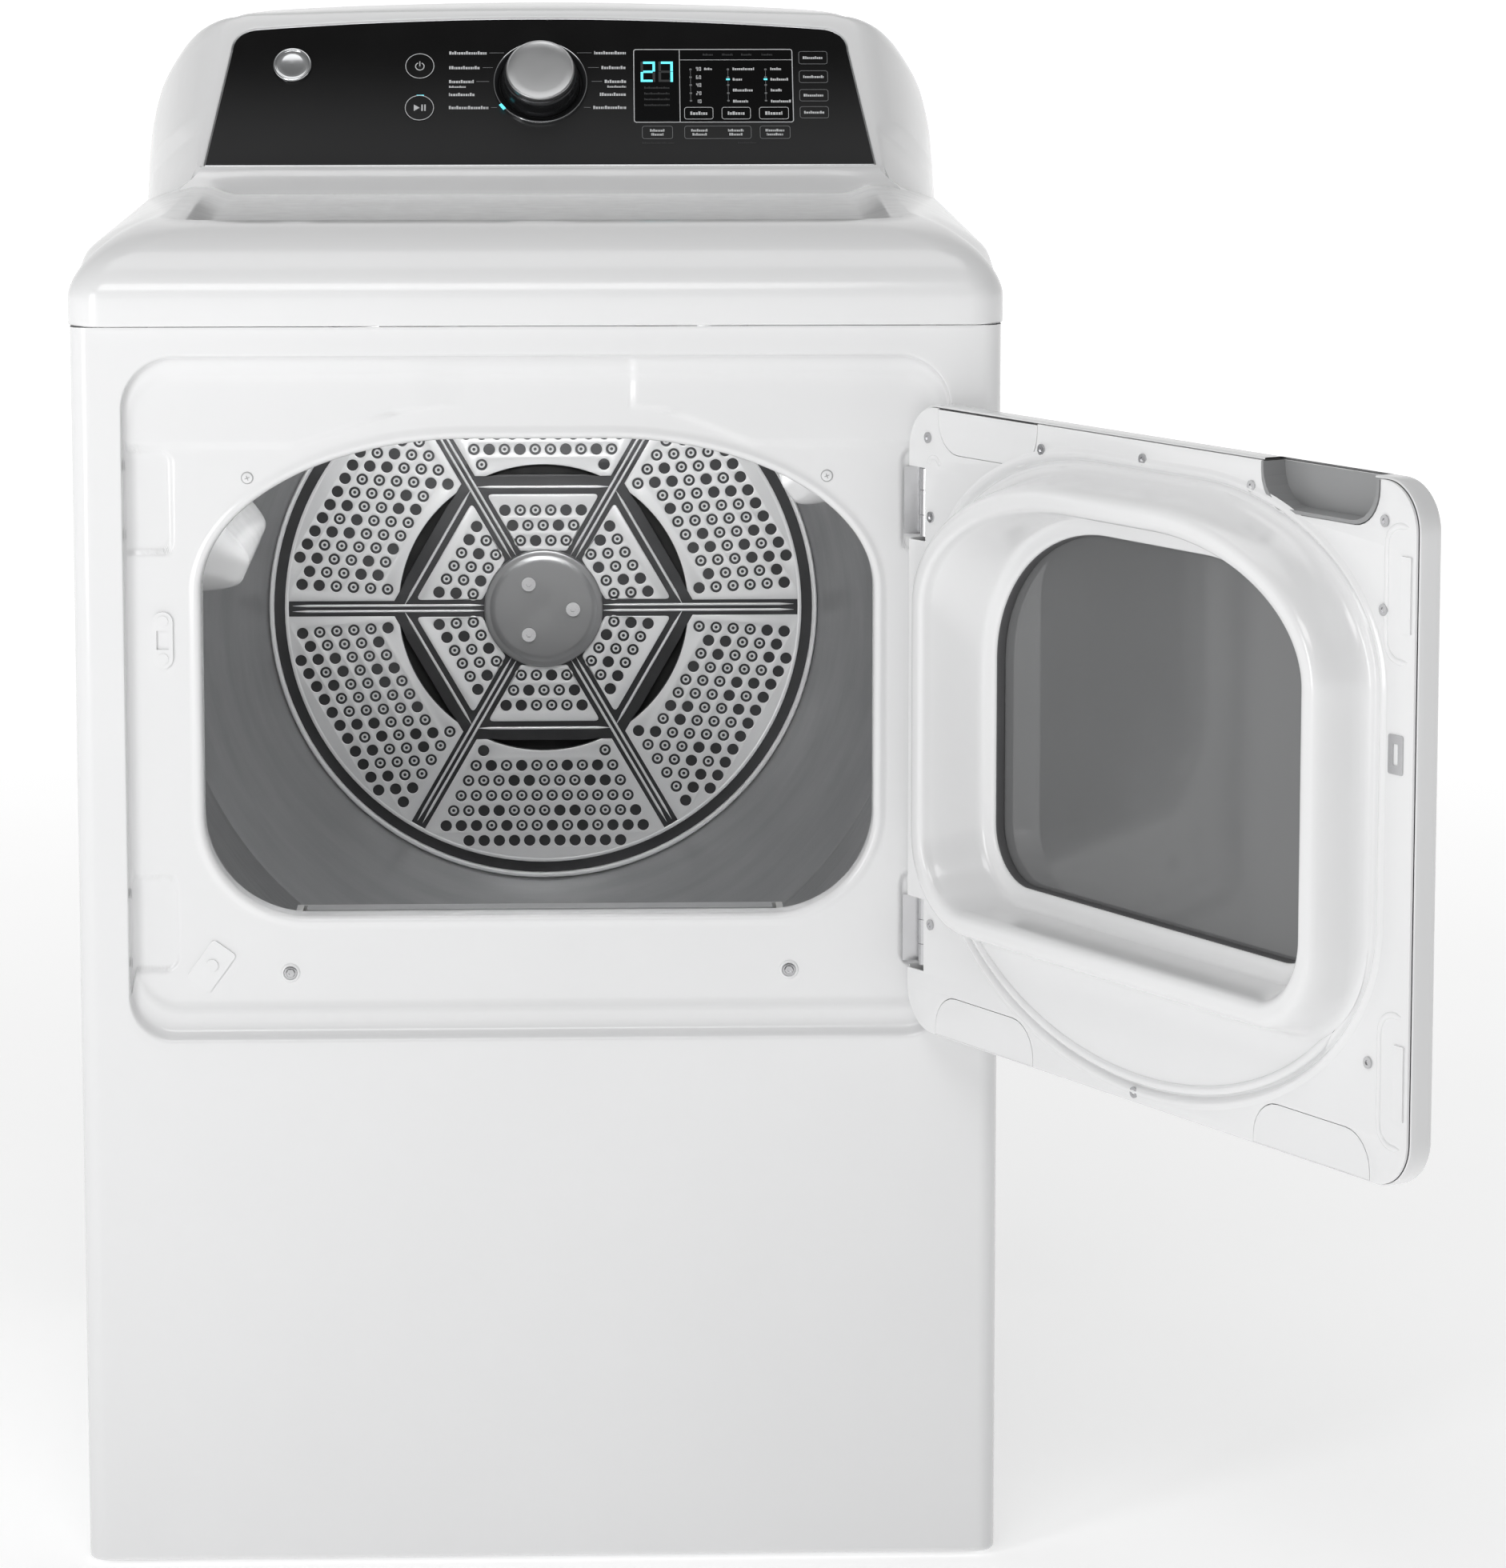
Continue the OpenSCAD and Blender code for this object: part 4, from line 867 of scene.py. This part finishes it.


def on_rear(part, y, turn=0.0):
    """A flat part (a, b, c) on the drum's rear wall, c towards the front, turned about the drum's axis."""
    points, faces = part
    a, b = turned(points[:, 0], points[:, 1], turn)
    return np.column_stack([a, y - points[:, 2], DRUM_Z + b]), faces


def lattice(first, last, limit, inner, outer):
    """Row, step and centre of each hole of one sector, in rows across it."""
    for row in range(first, last):
        y = FIRST_ROW + row * ROW_STEP
        for i in range(-8, 9):
            x = (i + (row % 2) / 2) * HOLE_PITCH
            if abs(x) <= y * math.tan(math.radians(30)) - limit and inner <= math.hypot(x, y) <= outer:
                yield row, i, x, y


def round_off(corners, r, n=5):
    """A closed polygon with its corners rounded."""
    out = []
    for before, p, after in zip(np.roll(corners, 1, 0), corners, np.roll(corners, -1, 0)):
        a, b = before - p, after - p
        a, b = a / np.linalg.norm(a), b / np.linalg.norm(b)
        cut = r / math.tan(math.acos(np.clip(a @ b, -1, 1)) / 2)
        start, end = p + a * cut, p + b * cut
        for t in np.linspace(0, 1, n):
            out.append((1 - t) ** 2 * start + 2 * t * (1 - t) * p + t * t * end)
    return np.array(out)


def build_drum():
    slope = math.tan(math.radians(60))
    shift = SPOKE / math.sin(math.radians(60))
    edge_x = GAP_FLOOR / slope - shift
    a = math.degrees(math.asin(SPOKE / PLATE_R))
    outer = ellipse(0, 0, PLATE_R, PLATE_R, 40, 60 + a, 60 - 2 * a)
    half_turn = math.degrees(math.acos(GAP_FLOOR / GAP_R))
    gap = ellipse(0, 0, GAP_R, GAP_R, 16, 90 + half_turn, -2 * half_turn)
    sector = np.vstack([[[edge_x, GAP_FLOOR]], outer, [[-edge_x, GAP_FLOOR]], gap])
    holes = list(lattice(0, 8, 13.6, 129, 212.4))
    shape = plate([sector] + [ellipse(x, y, HOLE_R, HOLE_R, 18) for _, _, x, y in holes], 1.8, 0.5)
    parts = [on_rear(shape, REAR_Y + 1.2, 60 * k) for k in range(6)]

    def back(points):
        return np.column_stack([points[:, 0], points[:, 2], DRUM_Z + points[:, 1]])
    parts.append(revolve([(228.4, 251), (228.6, 247.6), (230, 246.2), (231.6, 246.2), (232.6, 247.4), (232.8, 251)],
                         back, 120))
    parts.append(revolve([(216.2, 251), (216.2, 249.6), (216.8, 249.2), (218.6, 249.2), (219.4, 249.7),
                          (219.4, 251)], back, 120))
    build("drum_sector_plates", parts, "bright_steel", "drum", ["drum_rear_wall"])

    top_x, low_x = 97.5 / slope - 8.4, 49 / slope - 8.4
    panel = np.array([(low_x, 49), (top_x, 97.5), (-top_x, 97.5), (-low_x, 49)])
    panel = round_off(panel, 3.0)
    inner = list(lattice(-5, -2, 10, 0, 200))
    shape = plate([panel] + [ellipse(x, y, HOLE_R, HOLE_R, 18) for _, _, x, y in inner], 1.8, 0.5)
    ridge = bead(np.column_stack([np.zeros(40), np.linspace(50, 213, 40)]), 1.1, flat=0.9)
    rung = bead(np.column_stack([np.linspace(-57, 57, 30), np.full(30, 103.6)]), 1.2, flat=0.9)
    parts = []
    for k in range(6):
        parts.append(on_rear(shape, REAR_Y + 1.2, 60 * k))
        for side in (-1, 1):
            points = ridge[0] + [side * 2.4, 0, 0]
            parts.append(on_rear((points, ridge[1]), REAR_Y + 1.25, 60 * k + 30))
        parts.append(on_rear(rung, REAR_Y + 1.25, 60 * k))
    hub = [(50.5, 251.2), (50.5, 246.5), (49.6, 245), (47.8, 244.4), (46, 244.6), (44.8, 244.2), (43, 243.4),
           (40, 243.1), (8, 243), (4, 243.2), (0.01, 243.2)]
    build("drum_hub", [revolve(hub, back, 120)], "hub_grey", "drum")
    build("drum_spider_plates", parts, "bright_steel", "drum", ["drum_spider"])

    # Painted shade: a dark sheet just behind the plates for the shade seen through their holes and the channels
    # between them.
    base = [ellipse(0, 0, 231, 231, 160)]
    for k in range(6):
        flat = np.vstack([gap * 0.995, [[35, 114], [0, 114], [-35, 114]]])
        base.append(np.column_stack(turned(flat[:, 0], flat[:, 1], 60 * k)))
    build("drum_painted_shade_sheet", [on_rear(plate(base, 1.2, 0.2), REAR_Y + 2.5)], "painted_hole_shade", "drum")
    # Painted shade: an almost black disc behind the gaps round the spider.
    build("drum_painted_shade_disc", [on_rear(plate([ellipse(0, 0, 150, 150, 120)], 1.0, 0.2), REAR_Y + 9.5)],
          "painted_shade_black", "drum")
    # Rings on the plate behind show through about three holes in five.
    centres = [(x, y) for row, i, x, y in holes + inner
               if (7 * i + 5 * row + i * row) % 5 < 3 and math.hypot(x, y) < 196]
    points, faces = revolve([(1.3, 0), (1.5, 0.35), (2.6, 0.4), (3.0, 0)], lambda flat: flat, 14)
    parts = [on_rear((points + [x, y, 0], faces), REAR_Y + 1.35, 60 * k) for k in range(6) for x, y in centres]
    build("drum_back_rings", parts, "bright_steel", "drum")


# ------------------------------------------------------------------ controls

KNOB_V, FASCIA_W, LENS_W = 78.0, -0.6, -0.4
PRINT_THICK, SUNK = 0.12, 0.03              # how far printed marks stand out of the face, and sit in it


def on_knob(points):
    return on_face(points + [0, KNOB_V, 0])


def block(u0, v0, u1, v1, w, thick=PRINT_THICK):
    """A printed bar on the face."""
    corners = [(u, v, h) for h in (w - SUNK, w + thick) for u, v in ((u0, v0), (u1, v0), (u1, v1), (u0, v1))]
    return on_face(corners), BOX_FACES


def line_ring(inner, outer, w, thick=PRINT_THICK):
    loops = [at_z(s, h) for s, h in ((inner, w - SUNK), (inner, w + thick), (outer, w + thick), (outer, w - SUNK))]
    points, faces = loft(loops + loops[:1])
    return on_face(points), faces


def key_frame(u0, v0, u1, v1, w, width=0.5, r=2.2):
    inner = rounded(u0 + width, v0 + width, u1 - width, v1 - width, r - width)
    return line_ring(inner, rounded(u0, v0, u1, v1, r), w)


def disc(shape, w, thick=PRINT_THICK):
    points, faces = loft([at_z(shape, h) for h in (w - SUNK, w + thick)], fill_last=True, fill_first=True)
    return on_face(points), faces


LETTER_WIDTHS = (1.9, 1.3, 1.7, 0.8, 1.6, 1.9, 1.2, 1.5)


def greeked(u0, u1, v, w, height=3.0, seed=0):
    """A label as a row of small bars that stand for its letters, between u0 and u1."""
    parts, u, k = [], u0, seed
    scale = height / 3.0
    while u < u1 - 0.4 * scale:
        wide = min(LETTER_WIDTHS[k % 8] * scale, u1 - u)
        tall = height if (k - seed) == 0 or k % 5 == 2 else height * 0.72
        parts.append(block(u, v - height / 2, u + wide, v - height / 2 + tall, w))
        u += wide + 0.5 * scale
        k += 1
    return parts


# The lit strokes of each seven-segment numeral that the face shows.
SEGMENTS = {"0": "abcdef", "1": "bc", "2": "abged", "4": "fgbc", "6": "afgedc", "7": "abc", "9": "abcdfg"}


def digit(u, v, wide, tall, lit, w, stroke):
    """A seven-segment numeral with its lower left corner at (u, v)."""
    half, g = tall / 2, stroke * 0.12
    places = {"a": (stroke, tall - stroke, wide - stroke, tall), "d": (stroke, 0, wide - stroke, stroke),
              "g": (stroke, half - stroke / 2, wide - stroke, half + stroke / 2),
              "f": (0, half + g, stroke, tall), "b": (wide - stroke, half + g, wide, tall),
              "e": (0, 0, stroke, half - g), "c": (wide - stroke, 0, wide, half - g)}
    return [block(u + places[s][0], v + places[s][1], u + places[s][2], v + places[s][3], w) for s in lit]


def numeral(text, u, v, w, tall=3.4):
    parts = []
    for k, mark in enumerate(text):
        parts += digit(u + k * tall * 0.72, v - tall / 2, tall * 0.5, tall, SEGMENTS[mark], w, tall * 0.15)
    return parts


def arc_mark(cu, cv, r, width, start, turn, w):
    n = 28
    outer, inner = ellipse(cu, cv, r, r, n, start, turn), ellipse(cu, cv, r - width, r - width, n, start, turn)
    return disc(np.concatenate([outer, inner[::-1]]), w) if turn < 360 else line_ring(inner, outer, w)


def build_controls():
    bright, dim, cyan, ghost = [], [], [], []
    rows = (107.8, 93.6, 80.3, 67.9, 55.4)
    left_ends, right_starts = (-44.7, -50, -55.3, -54.6, -43.1), (44.7, 50.7, 53.3, 49.2, 43.7)
    for k, (v, end, begin) in enumerate(zip(rows, left_ends, right_starts)):
        bright += greeked(-75.7, end, v, FASCIA_W, seed=k) + greeked(begin, 71, v, FASCIA_W, seed=k + 3)
        if k != 3:
            reach = math.sqrt(42.5 ** 2 - (v - KNOB_V) ** 2)
            dim += [block(end + 2.2, v - 0.2, -reach, v + 0.2, FASCIA_W),
                    block(reach, v - 0.2, begin - 2.2, v + 0.2, FASCIA_W)]
    bright += greeked(-75.7, -61.5, 75.3, FASCIA_W, 1.9) + greeked(55.5, 71, 75.3, FASCIA_W, 1.9, 2)
    cyan += [block(-102.4, 66.4, -96.4, 67.6, FASCIA_W)]

    bright += [key_frame(77.2, 40.7, 209.7, 111.1, LENS_W, 0.7, 2.4)]
    bright += [block(115.2, 41, 115.8, 111, LENS_W), block(115.8, 100.5, 209.4, 100.9, LENS_W)]
    for k, mark in enumerate("27"):
        u = 83.2 + 14.8 * k
        cyan += digit(u, 79.6, 12.0, 19.5, SEGMENTS[mark], LENS_W, 2.1)
        ghost += digit(u, 79.6, 12.0, 19.5, [s for s in "abcdefg" if s not in SEGMENTS[mark]], LENS_W, 2.1)
    for k, u in enumerate((135, 151, 167, 184)):
        ghost += greeked(u, u + 9, 105.8, LENS_W, 1.9, k)
    for v in (74, 68.5, 63, 57.5):
        ghost += greeked(86, 107, v, LENS_W, 1.9, int(v))
    for u in (124.7, 155.8, 187.0):
        dim += [block(u - 0.25, 60.5, u + 0.05, 92.5, LENS_W)]
        dim += [block(u - 1.0, v - 0.7, u + 0.9, v + 0.7, LENS_W) for v in (91.5, 84, 76.5, 68.7, 61.5)]
    for text, v in zip(("90", "60", "40", "20", "10"), (92, 84, 76.5, 68.7, 60.9)):
        bright += numeral(text, 129.2, v, LENS_W)
    bright += greeked(136, 142.5, 92, LENS_W, 2.2)
    for v, ends in zip((92, 82, 71.6, 61), ((177.5, 200), (168, 206), (176, 200), (172, 208))):
        bright += greeked(159.6, ends[0], v, LENS_W, 2.5, int(v))
        bright += greeked(191, ends[1], v, LENS_W, 2.5, int(v) + 2)
    cyan += [block(154.2, 81.2, 157.2, 82.8, LENS_W), block(185.4, 81.2, 188.4, 82.8, LENS_W)]
    for u0, u1 in ((119, 143), (150, 174), (181, 205.6)):
        bright += [key_frame(u0, 43.8, u1, 55.4, LENS_W, 0.45)]
        bright += greeked(u0 + 5, u1 - 5, 49.6, LENS_W, 3.2, int(u0))
    for v0, v1 in ((96.6, 109), (78.6, 90.4), (61, 72.4), (44.8, 56)):
        dim += [key_frame(214.8, v0, 238.8, v1, FASCIA_W, 0.4)]
        bright += greeked(218.3, 235.3, (v0 + v1) / 2, FASCIA_W, 2.5, int(v0))
    for u0, u1 in ((83.9, 109.3), (118.9, 174.3), (181.3, 206.5)):
        dim += [key_frame(u0, 25.3, u1, 37.6, FASCIA_W, 0.4)]
    for u0, u1 in ((90.5, 102.5), (124.5, 138.5), (155, 168), (186, 201.5)):
        bright += greeked(u0, u1, 33.4, FASCIA_W, 2.3, int(u0))
        bright += greeked(u0 + 1, u1 - 1, 29.6, FASCIA_W, 2.3, int(u0) + 1)
    ghost += greeked(84, 110, 21.5, FASCIA_W, 1.6) + greeked(163, 178, 21.5, FASCIA_W, 1.6, 2)
    build("panel_print", bright, "print", "cabinet")
    build("panel_print_fine", dim, "print_dim", "cabinet")
    build("panel_print_faint", ghost, "print_faint", "cabinet")

    a, b = turned(np.array([-3, 3, 3, -3]), np.array([-1.3, -1.3, 1.3, 1.3]), 128)
    cyan += [disc(np.column_stack([-31.4 + a, 54.2 + b]), 3.0, 0.25)]
    build("panel_lights", cyan, "cyan_glow", "cabinet")

    power = [arc_mark(-100, 95, 12, 0.55, 0, 360, 0.0), arc_mark(-100, 94.6, 3.9, 0.75, 115, 310, 0.0),
             block(-100.4, 94.8, -99.6, 99.4, 0.0)]
    build("power_marks", power, "print", "power_button")
    arrow = np.array([(-104.6, 52), (-99.8, 55), (-104.6, 58)])
    start = [arc_mark(-100, 55, 12, 0.55, 0, 360, 0.0), disc(arrow, 0.0), block(-98.4, 52, -97.2, 58, 0.0),
             block(-96, 52, -94.8, 58, 0.0)]
    build("start_marks", start, "print", "start_button")

    cone = [(5, 1.25), (33.3, 1.2), (33.35, 2.2), (32.9, 4.2), (31.4, 11), (30.4, 15.2), (29.8, 16.6), (28.9, 17.3),
            (27.8, 17.4)]
    build("knob_skirt", [revolve(cone, on_knob, 120)], "dark_metal", "selector_knob",
          ["selector_knob"])
    bezel = [(34.2, -0.5), (34.2, 0.7), (35, 1.3), (36.4, 2.0), (37.6, 2.6), (37.9, 2.5), (37.9, -0.5)]
    build("bezel_ring", [revolve(bezel, on_knob, 120)], "dark_metal", "cabinet", ["selector_bezel"])
    hairline = [(37.9, -0.5), (37.9, 2.5), (38.2, 2.8), (38.7, 2.6), (39.1, 1.6), (39.2, 0.6), (39, -0.5)]
    build("bezel_hairline", [revolve(hairline, on_knob, 120)], "chrome", "cabinet")
    cap = [(27.9, 17.3), (28.35, 17.6), (28.4, 18.4), (28.4, 21.6), (28.2, 22.3), (27.7, 22.8), (27, 23), (26.4, 22.9),
           (25.6, 22.6), (20, 22.2), (12, 21.9), (5, 21.8), (0.01, 21.8)]
    build("knob_cap", [revolve(cap, on_knob, 120)], "knob_metal", "selector_knob")
    shaft = [(4.9, 1.3), (4.95, -13.2), (4.4, -13.9), (0.01, -14)]
    build("knob_shaft", [revolve(shaft, on_knob, 48)], "zinc", "selector_knob")
    medal = [(16, -0.5), (16, 1.2), (15.6, 2.2), (14.8, 2.7), (14, 2.6), (13.4, 2.0), (12.8, 1.8), (9, 2.3), (4, 2.7),
             (0.01, 2.8)]

    def on_badge(points):
        return on_face(points + [-205.5, 95.5, 0])
    build("badge_disc", [revolve(medal, on_badge, 96)], "chrome", "cabinet", ["badge"])


def build_lifters():
    x = np.linspace(-46, 46, 41)
    bell = (0.5 + 0.5 * np.cos(np.pi * np.clip((np.abs(x) - 6) / 40, 0, 1))) ** 0.85
    wall = np.sqrt(WALL_R ** 2 - x ** 2)
    stations = np.concatenate([np.linspace(-234, -160, 16), np.linspace(-140, 0, 6), np.linspace(20, 94, 16)])
    for k, angle in enumerate((38, 158, 278)):
        rings = []
        for y in stations:
            rise = 5 + 56 * smooth_step(min(y + 240, 100 - y) / 60)
            across = np.concatenate([x, x[-2:0:-1]])
            radius = np.concatenate([wall - 0.5 - rise * bell, wall[-2:0:-1]])
            a, b = turned(radius, -across, angle)
            rings.append(np.column_stack([a, np.full(len(across), y), DRUM_Z + b]))
        build(f"lifter_{k + 1}", [loft(rings, fill_first=True, fill_last=True)], "white_plastic", "drum",
              [f"baffle_{k + 1}"], sharp=60)


# ------------------------------------------------------------------ fittings in the door's recess


def on_floor(x, z):
    def place(points):
        return np.column_stack([x + points[:, 0], FLOOR_Y - points[:, 2], z + points[:, 1]])
    return place


def build_fittings():
    plug = [(4.0, -0.2), (4.0, 0.5), (3.7, 0.9), (3.2, 1.0), (0.01, 1.1)]
    # Painted shade: a thin grey ring where the gap round each plug lies in shade.
    ring = [(4.05, 0.1), (4.15, 0.45), (4.4, 0.5), (4.6, 0.1)]
    collar = [(4.9, -0.1), (5.0, 0.7), (5.5, 1.2), (6.1, 1.2), (6.7, 0.7), (7.2, 0.05)]
    washer = [(4.9, 0.3), (4.7, 0.8), (3.9, 1.0), (3.5, 1.0)]
    head = [(3.5, 0.9), (3.5, 2.4), (3.1, 2.8), (1.4, 2.9), (1.2, 2.3), (0.01, 2.2)]
    plugs, shade_marks, collars, screws = [], [], [], []
    for side in (-1, 1):
        place = on_floor(side * 213, 822)
        plugs.append(revolve(plug, place, 32))
        shade_marks.append(revolve(ring, place, 40))
        # Painted shade: a grey cross for the shade in each plug's slots.
        for turn in (20, 110):
            slot = turned(np.array([-1.9, 1.9, 1.9, -1.9]), np.array([-0.35, -0.35, 0.35, 0.35]), turn)
            corners = at_z(np.column_stack(slot), 1.12)
            shade_marks.append((place(np.vstack([corners, corners - [0, 0, 0.15]])), BOX_FACES))
        place = on_floor(side * 185.4, 451.3)
        collars.append(revolve(collar, place, 48))
        screws += [revolve(washer, place, 36), revolve(head, place, 6)]
    # Painted shade: grey spots for the shade in the holes of the recess's left wall.
    for z in (461, 513, 781, 832):
        spot = ellipse(0, 0, 2.6, 4.2, 20)
        shade_marks.append(loft([np.column_stack([np.full(20, x), -343.4 + spot[:, 0] * k, z + spot[:, 1] * k])
                           for x, k in ((-302.2, 1.0), (-301.9, 0.7))], fill_last=True))
    build("recess_plugs", plugs, "enamel", "cabinet", ["front_screws"])
    # Painted shade: the grey rings, crosses and spots, as one piece.
    build("recess_painted_shade", shade_marks, "painted_gap_shade", "cabinet")
    build("recess_collars", collars, "enamel", "cabinet")
    build("recess_screws", screws, "screw_steel", "cabinet", sharp=30)


# ------------------------------------------------------------------ assembly

build_stage()
build_camera()
build_front_panel()
build_top_cover()
build_console()
build_door()
build_drum()
build_lifters()
build_controls()
build_fittings()
